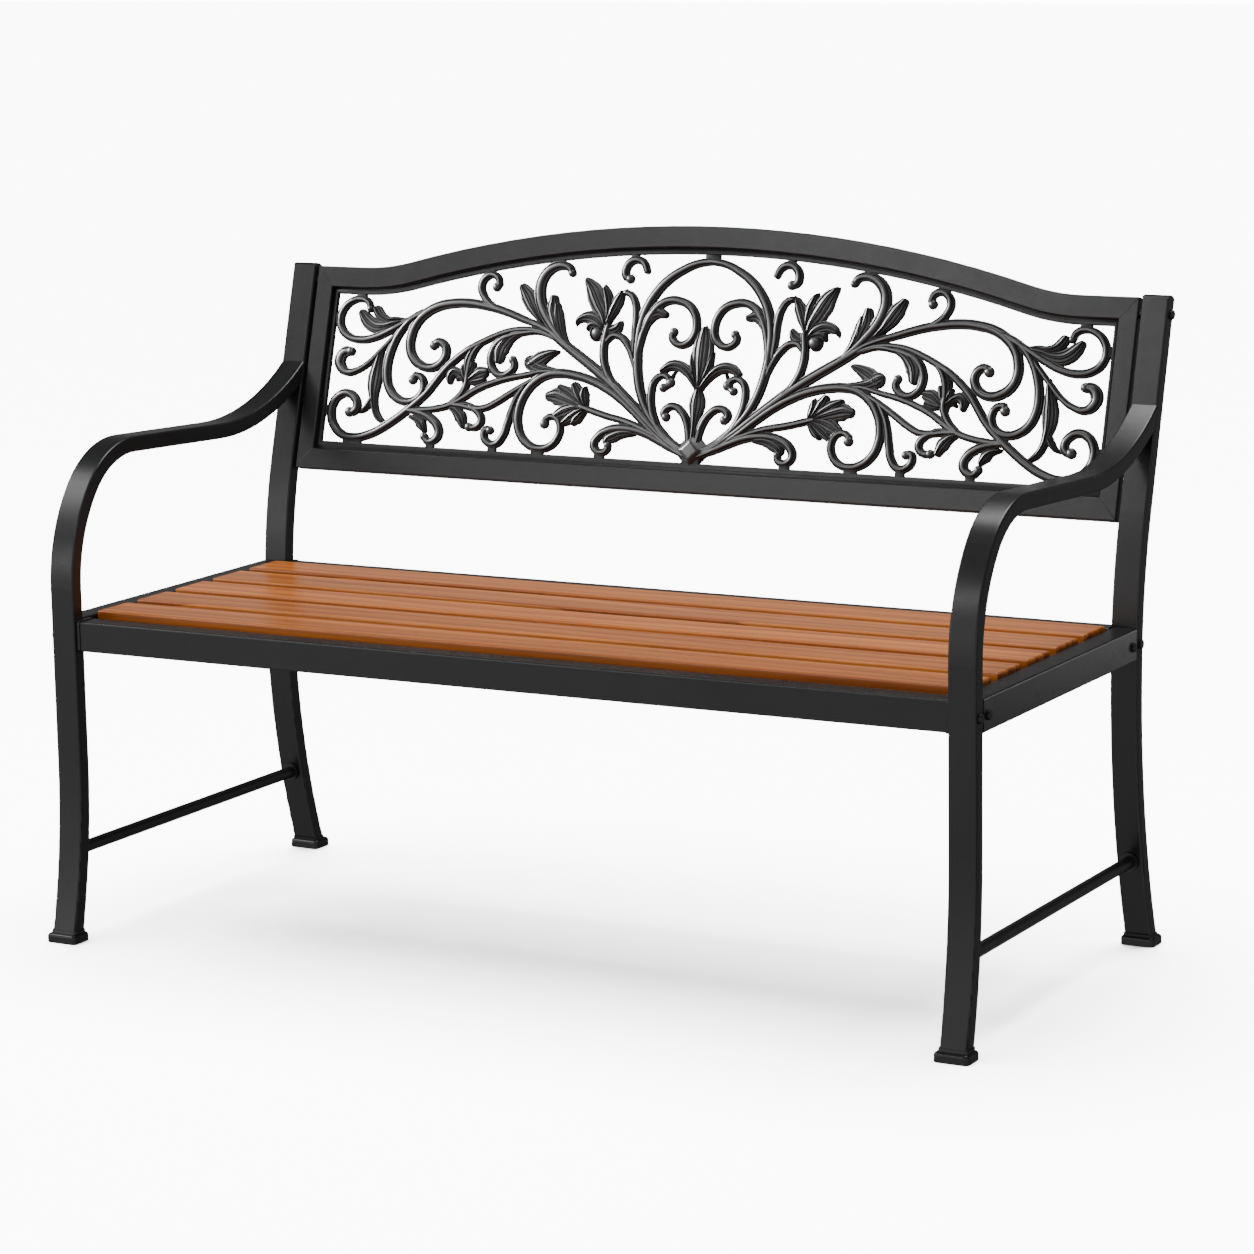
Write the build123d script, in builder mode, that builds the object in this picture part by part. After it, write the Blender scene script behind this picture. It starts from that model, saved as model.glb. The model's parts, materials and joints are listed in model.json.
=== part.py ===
"""Garden bench: steel tube side frames, a slatted hardwood seat and a cast scroll back panel."""

import os
from math import asin, cos, degrees, radians, sin, sqrt, tan

from build123d import *

os.makedirs("parts", exist_ok=True)

# All sizes are in millimetres. +X runs along the seat, +Y to the back, +Z up.

# Tube stock
tube_w = 35.0  # arm, leg and post tube, across the bench
tube_d = 20.5  # and front to back
tube_wall = 1.5
tube_r = 2.5
rail_d = 30.0  # seat rails, thickness
front_rail_h = 38.0
side_rail_h = 40.0
rail_r = 2.0

# Overall
bench_w = 1270.0
frame_x = bench_w / 2 - tube_w / 2  # centre of each side frame
inner_x = bench_w / 2 - tube_w  # inner face of the side frames

# Front leg and arm, one bent tube
leg_front = -294.6  # front face of the upright part
leg_c = leg_front + tube_d / 2
leg_rear = leg_front + tube_d
foot_curve_z = 230.0  # below this the leg sweeps forward
foot_curve_r = 950.0
bend_z = 452.0  # the arm bend starts here
bend_r1 = 194.75
bend_a1 = 40.0
bend_r2 = 114.75
arm_fall = 2.6  # degrees the arm falls towards the back
arm_rise_y = 46.3  # where the arm starts to rise to the post
arm_rise_r = 338.0
leg_floor = 3.0  # the tube ends this high, inside its foot cap

# Back post, one bent tube
post_front = 188.3
post_c = post_front + tube_d / 2
post_low_z = 340.0  # below this the post sweeps back to its foot
post_low_r = 1033.0
post_high_z = 365.0  # above this it bends back to the lean
post_high_r = 680.0
lean = 15.7  # degrees from upright
post_top_z = 806.0  # top front edge of the tube

# Seat
seat_z = 417.5  # top of the slats
slat_w = 66.0
slat_gap = 20.0
slat_t = 15.0
slat_count = 5
slat_edge_r = 2.6
slat_end_gap = 3.0  # between a slat's end and the side rail
rail_z = 373.0  # underside of every seat rail
front_rail_setback = 5.4  # the front rail's face behind the leg's front
rear_rail_forward = 4.5  # the rear rail's face ahead of the post's front
seat_front_gap = 17.0  # between the front rail and the first slat
end_plate_t = 5.0
end_plate_r = 4.0
end_plate_lip = 1.2  # a plate stands this far round its rail's end
side_rail_gap = 1.2  # between a side rail's end and the leg or post
ledge_w = 28.0
ledge_h = 24.0
ledge_t = 3.0
support_w = 30.0
support_h = 20.0
stock_wall = 1.5

# Back frame, measured up the leaning plane from its lower edge
frame_z = 539.0  # height of the lower front edge
frame_setback = 3.0  # behind the posts' front faces
frame_gap = 4.5  # between a post and the frame
frame_t = 20.0
frame_h = 277.0  # lower edge to the flat ends of the top rail
frame_rail_w = 28.0
frame_stile_w = 24.5
crown_h = 348.0
shoulder_flat = 74.1  # flat end of the top rail, from the frame's side
shoulder_r = 267.0
frame_edge_r = 1.6

# Cast panel
panel_recess = 5.0  # the casting's face behind the frame's face
panel_t = 8.0
border_recess = 6.0
border_t = 6.0
border_foot = 11.0
border_side = 7.5
border_head = 8.5
nub_h = 12.0  # bridges between curls and border
rosette_r = 14.5
pattern_half = 571.0  # half the opening that the scrolls are drawn for
pattern_side = 13.0  # centre of a side bridge from the opening's side

# Stretcher rods
rod_r = 8.0
rod_z = 114.0
collar_r = 12.0
collar_t = 4.0

# Foot and post caps
foot_w = 45.0
foot_d = 33.5
foot_h = 12.0
foot_edge_r = 4.2
foot_base_r = 1.6
foot_corner_r = 6.0
lip_t = 1.4
lip_h = 3.5
cap_dome = 5.0
cap_lip = 1.2
cap_edge_r = 1.0
cap_plug = 12.0
fit = 0.1  # push fit clearance

# Fasteners
bolt_r = 3.0
bolt_head_r = 6.0
bolt_head_h = 3.6
bolt_dome_r = 1.6
nut_r = 5.2
nut_h = 5.0
hole_play = 0.3
thread_play = 0.05
side_bolt_in = 12.0  # from a side rail's end to its bolt
bolt_z = 392.0
upper_bolt_v = 258.0  # up the frame
lower_tab_v = 92.0
spacer_r = 7.0
tab_r = 5.5
screw_r = 2.0
screw_head_r = 4.0
screw_head_h = 2.4
screw_in_wood = 9.0

# Worked out from the values above
slat_bottom = seat_z - slat_t
front_rail_y = leg_front + front_rail_setback
rear_rail_y = post_front - rear_rail_forward
seat_y = front_rail_y + rail_d + seat_front_gap
seat_end = seat_y + slat_count * slat_w + (slat_count - 1) * slat_gap
side_rail_in = bench_w / 2 - rail_d
slat_half = side_rail_in - slat_end_gap
bend_y = post_front + (post_high_r + tube_d / 2) * (1 - cos(radians(lean)))
bend_top = post_high_z + (post_high_r + tube_d / 2) * sin(radians(lean))
frame_y = bend_y + (frame_z - bend_top) * tan(radians(lean)) + frame_setback / cos(radians(lean))
frame_half = inner_x - frame_gap
stile_in = frame_half - frame_stile_w
shoulder_x = frame_half - shoulder_flat
crown_r = (shoulder_x**2 + (crown_h - frame_h) ** 2) / (2 * (crown_h - frame_h)) - shoulder_r
pattern_stretch = stile_in / pattern_half
frame_plane = Plane(
    origin=(0, frame_y, frame_z),
    x_dir=(1, 0, 0),
    z_dir=(0, -cos(radians(lean)), sin(radians(lean))),
)
post_face = Plane(
    origin=(0, bend_y, bend_top),
    x_dir=(1, 0, 0),
    z_dir=(0, -cos(radians(lean)), sin(radians(lean))),
)
sides = {"left": -1, "right": 1}


def save(part, name):
    part.label = name
    export_step(part, f"parts/{name}.step")


def on_circle(centre, radius, angle):
    """Point at an angle on a circle."""
    return (
        centre[0] + radius * cos(radians(angle)),
        centre[1] + radius * sin(radians(angle)),
    )


def swept_tube(path, grow, hollow):
    """Rounded rectangular tube along a path that starts at its foot."""
    start = path.wire()
    section = Plane(origin=start @ 0, x_dir=(1, 0, 0), z_dir=start % 0)
    with BuildPart() as tube:
        with BuildSketch(section):
            RectangleRounded(tube_w + 2 * grow, tube_d + 2 * grow, tube_r + grow)
            if hollow:
                RectangleRounded(
                    tube_w - 2 * tube_wall,
                    tube_d - 2 * tube_wall,
                    tube_r - tube_wall,
                    mode=Mode.SUBTRACT,
                )
        sweep(path=start)
    return tube.part


def arm_leg_tube(side, grow=0.0, hollow=True):
    """Front leg that bends into the arm and rises to meet the post."""
    drop = foot_curve_z + 6
    foot_a = degrees(asin(drop / foot_curve_r))
    p1 = on_circle((leg_c + bend_r1, bend_z), bend_r1, 180 - bend_a1)
    turn = 180 - bend_a1
    c2 = on_circle(p1, -bend_r2, turn)
    top = 90 - arm_fall
    p2 = on_circle(c2, bend_r2, top)
    run = (arm_rise_y - p2[0]) / cos(radians(arm_fall))
    p3 = on_circle(p2, run, -arm_fall)
    c3 = on_circle(p3, arm_rise_r, 90 - arm_fall)
    with BuildLine(Plane.YZ.offset(side * frame_x)) as path:
        CenterArc((leg_c - foot_curve_r, foot_curve_z), foot_curve_r, -foot_a, foot_a)
        Line((leg_c, foot_curve_z), (leg_c, bend_z))
        CenterArc((leg_c + bend_r1, bend_z), bend_r1, 180, -bend_a1)
        CenterArc(c2, bend_r2, turn, top - turn)
        Line(p2, p3)
        CenterArc(c3, arm_rise_r, 270 - arm_fall, 41)
    return swept_tube(path, grow, hollow)


def post_tube(side, grow=0.0, hollow=True):
    """Back post: it sweeps back at the foot and leans back above the seat."""
    drop = post_low_z + 6
    foot_a = degrees(asin(drop / post_low_r))
    c1 = (post_c + post_low_r, post_low_z)
    c2 = (post_c + post_high_r, post_high_z)
    p2 = on_circle(c2, post_high_r, 180 - lean)
    run = (post_top_z - bend_top) / cos(radians(lean))
    p3 = on_circle(p2, run, 90 - lean)
    with BuildLine(Plane.YZ.offset(side * frame_x)) as path:
        CenterArc(c1, post_low_r, 180 + foot_a, -foot_a)
        Line((post_c, post_low_z), (post_c, post_high_z))
        CenterArc(c2, post_high_r, 180, -lean)
        Line(p2, p3)
    return swept_tube(path, grow, hollow)


def bolt_holes(part, spots, axis, radius, length):
    """Cut round holes through a part. Each spot is a hole's centre."""
    with BuildPart() as cut:
        add(part)
        for spot in spots:
            with Locations(Plane(origin=spot, z_dir=axis)):
                Cylinder(radius, length, mode=Mode.SUBTRACT)
    return cut.part


def bolt(face, axis, length):
    """Button head bolt: face is the point under the head, axis points from the shank to the head."""
    with BuildPart(Plane(origin=face, z_dir=axis)) as made:
        Cylinder(
            bolt_head_r,
            bolt_head_h,
            align=(Align.CENTER, Align.CENTER, Align.MIN),
        )
        fillet(made.edges().group_by(Axis(face, axis))[-1], bolt_dome_r)
        Cylinder(
            bolt_r,
            length,
            align=(Align.CENTER, Align.CENTER, Align.MAX),
        )
    return made.part


def group(parts, name):
    save(Compound(children=parts), name)


# Where the fasteners sit
front_bolt_y = leg_c
rear_bolt_y = post_c
side_bolt_front = leg_rear + side_rail_gap + side_bolt_in
side_bolt_rear = post_front - side_rail_gap - side_bolt_in
upper_bolt = frame_plane.from_local_coords((0, upper_bolt_v, -frame_t / 2))
lower_tab = frame_plane.from_local_coords((0, lower_tab_v, -frame_t / 2))

# Side frames
rod_bolts = []
for side_name, side in sides.items():
    x = side * frame_x
    leg = arm_leg_tube(side)
    leg = split(leg, bisect_by=post_face, keep=Keep.TOP)
    leg = split(leg, bisect_by=Plane.XY.offset(leg_floor), keep=Keep.TOP)
    leg = bolt_holes(leg, [(x, front_bolt_y, bolt_z)], (1, 0, 0), bolt_r + hole_play, tube_w + 2)
    save(leg, f"{side_name}_arm_leg")

    post = post_tube(side)
    post = split(post, bisect_by=Plane.XY.offset(leg_floor), keep=Keep.TOP)
    spots = [
        (x, rear_bolt_y, bolt_z),
        (x, upper_bolt.Y, upper_bolt.Z),
    ]
    post = bolt_holes(post, spots, (1, 0, 0), bolt_r + hole_play, tube_w + 2)
    post = bolt_holes(post, [(x, post_c + 25, rod_z)], (0, 1, 0), bolt_r + hole_play, 60)
    save(post, f"{side_name}_back_post")

    leg_solid = arm_leg_tube(side, hollow=False)
    post_solid = post_tube(side, hollow=False)

    # Post cap: a plug domed from front to back
    run = (post_top_z - bend_top) / cos(radians(lean))
    top_centre = post_face.from_local_coords((x, run, -tube_d / 2))
    cap_side = Plane(
        origin=top_centre,
        x_dir=(0, cos(radians(lean)), -sin(radians(lean))),
        z_dir=(1, 0, 0),
    )
    cap_up = (0, sin(radians(lean)), cos(radians(lean)))
    with BuildPart() as cap:
        with BuildSketch(cap_side):
            with BuildLine():
                Line((tube_d / 2, 0), (-tube_d / 2, 0))
                Line((-tube_d / 2, 0), (-tube_d / 2, cap_lip))
                ThreePointArc((-tube_d / 2, cap_lip), (0, cap_dome), (tube_d / 2, cap_lip))
                Line((tube_d / 2, cap_lip), (tube_d / 2, 0))
            make_face()
        extrude(amount=tube_w / 2, both=True)
        ends = cap.faces().sort_by(Axis.X)
        domed = ends[0].edges() + ends[-1].edges()
        fillet(domed.filter_by(GeomType.CIRCLE), cap_edge_r)
        with BuildSketch(Plane(origin=top_centre, x_dir=(1, 0, 0), z_dir=cap_up)):
            RectangleRounded(
                tube_w - 2 * tube_wall - 2 * fit,
                tube_d - 2 * tube_wall - 2 * fit,
                tube_r - tube_wall - fit,
            )
        extrude(amount=-cap_plug)
    save(cap.part, f"{side_name}_post_cap")

    # Foot caps: a rounded flange with a thin lip round the tube
    front_y = leg_c - foot_curve_r + sqrt(foot_curve_r**2 - (foot_curve_z - foot_h / 2) ** 2)
    rear_y = post_c + post_low_r - sqrt(post_low_r**2 - (post_low_z - foot_h / 2) ** 2)
    for end, y, tube in (("front", front_y, arm_leg_tube), ("rear", rear_y, post_tube)):
        lip = split(tube(side, lip_t, False), bisect_by=Plane.XY.offset(foot_h - 2), keep=Keep.TOP)
        lip = split(lip, bisect_by=Plane.XY.offset(foot_h + lip_h), keep=Keep.BOTTOM)
        socket = split(tube(side, fit, False), bisect_by=Plane.XY.offset(leg_floor), keep=Keep.TOP)
        with BuildPart() as foot:
            with Locations((x, y, 0)):
                Box(foot_w, foot_d, foot_h, align=(Align.CENTER, Align.CENTER, Align.MIN))
            fillet(foot.edges().filter_by(Axis.Z), foot_corner_r)
            fillet(foot.faces().sort_by(Axis.Z)[-1].edges(), foot_edge_r)
            fillet(foot.faces().sort_by(Axis.Z)[0].edges(), foot_base_r)
            add(lip)
            add(socket, mode=Mode.SUBTRACT)
        save(foot.part, f"{end}_{side_name}_foot_cap")

    # Stretcher rod, its collar and its bolt
    with BuildPart() as rod:
        with Locations(Plane(origin=(x, leg_c, rod_z), z_dir=(0, 1, 0))):
            Cylinder(rod_r, post_c - leg_c + 30, align=(Align.CENTER, Align.CENTER, Align.MIN))
        add(leg_solid, mode=Mode.SUBTRACT)
        add(post_solid, mode=Mode.SUBTRACT)
        rod_end = post_front + 24
        with Locations(Plane(origin=(x, rod_end - 18, rod_z), z_dir=(0, 1, 0))):
            Cylinder(
                bolt_r + thread_play, 40,
                align=(Align.CENTER, Align.CENTER, Align.MIN), mode=Mode.SUBTRACT,
            )
    keep_rod = rod.part.solids().sort_by(SortBy.VOLUME)[-1]
    save(Part(keep_rod.wrapped), f"{side_name}_stretcher_rod")
    with BuildPart() as collar:
        with Locations(Plane(origin=(x, rod_end - collar_t, rod_z), z_dir=(0, 1, 0))):
            Cylinder(collar_r, collar_t + 6, align=(Align.CENTER, Align.CENTER, Align.MIN))
            Cylinder(
                rod_r + thread_play, collar_t + 6,
                align=(Align.CENTER, Align.CENTER, Align.MIN), mode=Mode.SUBTRACT,
            )
        add(post_solid, mode=Mode.SUBTRACT)
    save(Part(collar.part.solids().sort_by(SortBy.VOLUME)[-1].wrapped), f"{side_name}_rod_collar")
    rear_face_y = post_c + post_low_r - sqrt((post_low_r - tube_d / 2) ** 2 - (post_low_z - rod_z) ** 2)
    with BuildPart() as rod_bolt:
        add(bolt((x, rear_face_y + 1.4, rod_z), (0, 1, 0), 36))
        add(post_solid, mode=Mode.SUBTRACT)
        with Locations(Plane(origin=(x, rod_end - 12, rod_z), z_dir=(0, 1, 0))):
            Cylinder(bolt_r, 44, align=(Align.CENTER, Align.CENTER, Align.MIN))
    rod_bolts.append(rod_bolt.part)

group(rod_bolts, "stretcher_bolts")


def box_tube(length, width, height, radius, wall, start, axis, across):
    """Straight rounded tube with its section centred on start, running along axis."""
    section = Plane(origin=start, x_dir=across, z_dir=axis)
    with BuildPart() as tube:
        with BuildSketch(section):
            RectangleRounded(width, height, radius)
            RectangleRounded(width - 2 * wall, height - 2 * wall, radius - wall + 0.3, mode=Mode.SUBTRACT)
        extrude(amount=length)
    return tube.part


# Front and rear seat rails, with a plate across each end
seat_bolts = []
for rail_name, y, bolt_y in (
    ("front", front_rail_y + rail_d / 2, front_bolt_y),
    ("rear", rear_rail_y + rail_d / 2, rear_bolt_y),
):
    rail_half = inner_x - end_plate_t
    rail_mid_z = rail_z + front_rail_h / 2
    rail = box_tube(
        2 * rail_half, rail_d, front_rail_h, rail_r, stock_wall,
        (-rail_half, y, rail_mid_z), (1, 0, 0), (0, 1, 0),
    )
    save(rail, f"{rail_name}_seat_rail")
    for side_name, side in sides.items():
        with BuildPart() as plate:
            rail_end = Plane(origin=(side * rail_half, y, rail_mid_z), x_dir=(0, 1, 0), z_dir=(side, 0, 0))
            with BuildSketch(rail_end):
                RectangleRounded(rail_d + 2 * end_plate_lip, front_rail_h + 2 * end_plate_lip, end_plate_r)
            extrude(amount=end_plate_t)
        spots = [(side * (rail_half + end_plate_t / 2), bolt_y, bolt_z)]
        plate_part = bolt_holes(plate.part, spots, (1, 0, 0), bolt_r + thread_play, 2 * end_plate_t)
        save(plate_part, f"{rail_name}_rail_{side_name}_plate")
        seat_bolts.append(
            bolt((side * bench_w / 2, bolt_y, bolt_z), (side, 0, 0), tube_w + end_plate_t + 5)
        )
group(seat_bolts, "seat_frame_bolts")

# Side seat rails on brackets that stand on the legs and posts
side_bolts = []
side_nuts = []
bracket_clear = 0.4
bracket_t = 2.5
bracket_len = side_bolt_in + 9.0
side_mid_x = bench_w / 2 - rail_d / 2
side_mid_z = rail_z + side_rail_h / 2
for side_name, side in sides.items():
    y0 = leg_rear + side_rail_gap
    y1 = post_front - side_rail_gap
    rail = box_tube(
        y1 - y0, rail_d, side_rail_h, rail_r, stock_wall,
        (side * side_mid_x, y0, side_mid_z), (0, 1, 0), (1, 0, 0),
    )
    outer = side * (bench_w / 2 - stock_wall / 2)
    spots = [(outer, side_bolt_front, bolt_z), (outer, side_bolt_rear, bolt_z)]
    rail = bolt_holes(rail, spots, (1, 0, 0), bolt_r + hole_play, 3 * stock_wall)
    save(rail, f"{side_name}_seat_rail")
    for end, face_y, way, bolt_y in (
        ("front", leg_rear, 1, side_bolt_front),
        ("rear", post_front, -1, side_bolt_rear),
    ):
        inside_w = rail_d - 2 * stock_wall - 2 * bracket_clear
        inside_h = side_rail_h - 2 * stock_wall - 2 * bracket_clear - 2.0
        with BuildPart() as bracket:
            with Locations((side * side_mid_x, face_y + way * bracket_len / 2, side_mid_z)):
                Box(inside_w, bracket_len, inside_h)
            hollow_x = side * (side_mid_x - bracket_t)
            hollow_y = face_y + way * (bracket_len / 2 + bracket_t)
            with Locations((hollow_x, hollow_y, side_mid_z)):
                Box(inside_w, bracket_len, inside_h + 2, mode=Mode.SUBTRACT)
            plate_x = side * (side_mid_x + inside_w / 2 - bracket_t / 2)
            with Locations(Plane(origin=(plate_x, bolt_y, bolt_z), z_dir=(1, 0, 0))):
                Cylinder(bolt_r + hole_play, 2 * bracket_t, mode=Mode.SUBTRACT)
            if end == "rear":
                add(post_tube(side, 0.0, False), mode=Mode.SUBTRACT)
        save(bracket.part, f"{end}_{side_name}_bracket")
        nut_face = side * (side_mid_x + inside_w / 2 - bracket_t)
        with BuildPart() as nut:
            with BuildSketch(Plane(origin=(nut_face, bolt_y, bolt_z), z_dir=(-side, 0, 0))):
                RegularPolygon(nut_r, 6)
                Circle(bolt_r + thread_play, mode=Mode.SUBTRACT)
            extrude(amount=nut_h)
        side_nuts.append(nut.part)
        side_bolts.append(bolt((side * bench_w / 2, bolt_y, bolt_z), (side, 0, 0), 13))
group(side_bolts, "side_rail_bolts")
group(side_nuts, "side_rail_nuts")

# Slats, the ledges under their ends and the support under their middles
slat_ys = [seat_y + slat_w / 2 + i * (slat_w + slat_gap) for i in range(slat_count)]
screw_xs = [-(side_rail_in - ledge_w / 2), 0.0, side_rail_in - ledge_w / 2]
for i, y in enumerate(slat_ys, 1):
    with BuildPart() as slat:
        with Locations((0, y, seat_z - slat_t / 2)):
            Box(2 * slat_half, slat_w, slat_t)
        fillet(slat.edges(), slat_edge_r)
        for x in screw_xs:
            with Locations((x, y, slat_bottom)):
                Cylinder(
                    screw_r + thread_play, screw_in_wood + 0.5,
                    align=(Align.CENTER, Align.CENTER, Align.MIN), mode=Mode.SUBTRACT,
                )
    save(slat.part, f"seat_slat_{i}")

for side_name, side in sides.items():
    with BuildPart() as ledge:
        mid_y = (seat_y + seat_end) / 2
        run = seat_end - seat_y
        with Locations((side * (side_rail_in - ledge_w / 2), mid_y, slat_bottom - ledge_t / 2)):
            Box(ledge_w, run, ledge_t)
        with Locations((side * (side_rail_in - ledge_t / 2), mid_y, slat_bottom - ledge_h / 2)):
            Box(ledge_t, run, ledge_h)
        for y in slat_ys:
            with Locations((side * (side_rail_in - ledge_w / 2), y, slat_bottom)):
                Cylinder(screw_r + hole_play, 3 * ledge_t, mode=Mode.SUBTRACT)
    save(ledge.part, f"{side_name}_slat_ledge")

support_y0 = front_rail_y + rail_d
support = box_tube(
    rear_rail_y - support_y0, support_w, support_h, rail_r, stock_wall,
    (0, support_y0, slat_bottom - support_h / 2), (0, 1, 0), (-1, 0, 0),
)
spots = [(0, y, slat_bottom - support_h / 2) for y in slat_ys]
support = bolt_holes(support, spots, (0, 0, 1), screw_r + hole_play, support_h + 2)
save(support, "centre_seat_support")

slat_screws = []
for y in slat_ys:
    for x in screw_xs:
        under = slat_bottom - (support_h if x == 0.0 else ledge_t)
        with BuildPart() as screw:
            with Locations((x, y, under)):
                Cylinder(screw_head_r, screw_head_h, align=(Align.CENTER, Align.CENTER, Align.MAX))
                Cylinder(
                    screw_r, slat_bottom - under + screw_in_wood,
                    align=(Align.CENTER, Align.CENTER, Align.MIN),
                )
            fillet(screw.edges().group_by(Axis.Z)[0], 0.8)
        slat_screws.append(screw.part)
group(slat_screws, "slat_screws")


# Back frame: four mitred tubes, the top one arched
def arch(inset, edge_x):
    """The arch at this distance inside its top edge, as arcs from right to left."""
    low = frame_h - inset
    crown = crown_r - inset
    shoulder = shoulder_r + inset
    centre = (0, crown_h - crown_r)
    right = (shoulder_x, frame_h + shoulder_r)
    tilt = degrees(asin(shoulder_x / (crown_r + shoulder_r)))
    Line((edge_x, low), (shoulder_x, low))
    CenterArc(right, shoulder, 270, -tilt)
    CenterArc(centre, crown, 90 - tilt, 2 * tilt)
    CenterArc((-shoulder_x, right[1]), shoulder, 270 + tilt, -tilt)
    Line((-shoulder_x, low), (-edge_x, low))
    return low


def rail_section(depth, wall):
    """Top rail between two copies of the arch; wall is how far inside the tube's faces."""
    with BuildPart() as made:
        with BuildSketch(frame_plane.offset(-depth)):
            with BuildLine():
                x0 = frame_half - wall * frame_stile_w / frame_rail_w
                x1 = stile_in + wall * frame_stile_w / frame_rail_w
                v0 = arch(wall, x0)
                v1 = arch(frame_rail_w - wall, x1)
                Line((x0, v0), (x1, v1))
                Line((-x0, v0), (-x1, v1))
            make_face()
        extrude(amount=-(frame_t - 2 * depth))
    return made.part


def bar_section(depth, wall, corners):
    """A straight frame tube from its four mitred corners."""
    with BuildPart() as made:
        with BuildSketch(frame_plane.offset(-depth)):
            with BuildLine():
                Polyline(*corners(wall), close=True)
            make_face()
        extrude(amount=-(frame_t - 2 * depth))
    return made.part


def bottom_corners(wall):
    ratio = frame_stile_w / frame_rail_w
    lower = frame_half - wall * ratio
    upper = stile_in + wall * ratio
    return [(-lower, wall), (lower, wall), (upper, frame_rail_w - wall), (-upper, frame_rail_w - wall)]


def stile_corners(side):
    def corners(wall):
        ratio = frame_rail_w / frame_stile_w
        out = side * (frame_half - wall)
        inn = side * (stile_in + wall)
        low_out = wall * ratio
        low_in = frame_rail_w - wall * ratio
        return [(out, low_out), (out, frame_h - low_out), (inn, frame_h - low_in), (inn, low_in)]

    return corners


with BuildPart() as top_rail:
    add(rail_section(0, 0))
    fillet(top_rail.edges().filter_by(GeomType.CIRCLE) + top_rail.edges().filter_by(Axis.X), frame_edge_r)
    add(rail_section(stock_wall, stock_wall), mode=Mode.SUBTRACT)
save(top_rail.part, "back_top_rail")

with BuildPart() as bottom_rail:
    add(bar_section(0, 0, bottom_corners))
    fillet(bottom_rail.edges().filter_by(Axis.X), frame_edge_r)
    add(bar_section(stock_wall, stock_wall, bottom_corners), mode=Mode.SUBTRACT)
save(bottom_rail.part, "back_bottom_rail")

frame_bolts = []
frame_nuts = []
frame_spacers = []
lower_tabs = []
for side_name, side in sides.items():
    with BuildPart() as stile:
        add(bar_section(0, 0, stile_corners(side)))
        fillet(stile.edges().filter_by(Axis((0, 0, 0), frame_plane.y_dir)), frame_edge_r)
        add(bar_section(stock_wall, stock_wall, stile_corners(side)), mode=Mode.SUBTRACT)
    wall_x = side * (frame_half - stock_wall / 2)
    stile_part = bolt_holes(
        stile.part, [(wall_x, upper_bolt.Y, upper_bolt.Z)], (1, 0, 0), bolt_r + hole_play, 3 * stock_wall
    )
    save(stile_part, f"back_{side_name}_stile")
    for point, radius, hole, store in (
        (upper_bolt, spacer_r, True, frame_spacers),
        (lower_tab, tab_r, False, lower_tabs),
    ):
        with BuildPart(Plane(origin=(side * frame_half, point.Y, point.Z), z_dir=(side, 0, 0))) as spacer:
            Cylinder(radius, frame_gap, align=(Align.CENTER, Align.CENTER, Align.MIN))
            if hole:
                Cylinder(
                    bolt_r + hole_play, frame_gap,
                    align=(Align.CENTER, Align.CENTER, Align.MIN), mode=Mode.SUBTRACT,
                )
        store.append(spacer.part)
    nut_face = side * (frame_half - stock_wall)
    with BuildPart() as nut:
        with BuildSketch(Plane(origin=(nut_face, upper_bolt.Y, upper_bolt.Z), z_dir=(-side, 0, 0))):
            RegularPolygon(nut_r, 6)
            Circle(bolt_r + thread_play, mode=Mode.SUBTRACT)
        extrude(amount=nut_h)
    frame_nuts.append(nut.part)
    frame_bolts.append(
        bolt((side * bench_w / 2, upper_bolt.Y, upper_bolt.Z), (side, 0, 0), tube_w + frame_gap + 9)
    )
group(frame_bolts, "back_frame_bolts")
group(frame_nuts, "back_frame_nuts")
group(frame_spacers, "back_frame_spacers")
group(lower_tabs, "back_frame_tabs")


# Cast scroll panel, drawn on the leaning plane: x from the middle, v up from the frame's lower edge
def stem(points, start, middle, end, ball=0.0):
    """One flat stem along points, with its width at the start, middle and end."""
    with BuildLine():
        path = Spline(*[(x * pattern_stretch, v) for x, v in points])
    count = 2 * len(points)
    one_side = []
    other_side = []
    for step in range(count + 1):
        t = step / count
        width = start * (1 - t) * (1 - 2 * t) + middle * 4 * t * (1 - t) + end * t * (2 * t - 1)
        along = path % t
        out = Vector(-along.Y, along.X) * (width / 2)
        one_side.append((path @ t) + out)
        other_side.append((path @ t) - out)
    with BuildSketch() as flat:
        with BuildLine():
            Spline(*one_side)
            Line(one_side[-1], other_side[-1])
            Spline(*reversed(other_side))
            Line(other_side[0], one_side[0])
        make_face()
        with Locations(path @ 1):
            Circle(max(ball, 0.4 * end))
    return flat.sketch


def opening(head, side, foot):
    """The frame's opening drawn in by these widths."""
    edge_x = stile_in - side
    low = frame_rail_w + foot
    with BuildSketch() as flat:
        with BuildLine():
            high = arch(frame_rail_w + head, edge_x)
            Polyline((edge_x, high), (edge_x, low), (-edge_x, low), (-edge_x, high))
        make_face()
    return flat.sketch


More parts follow.
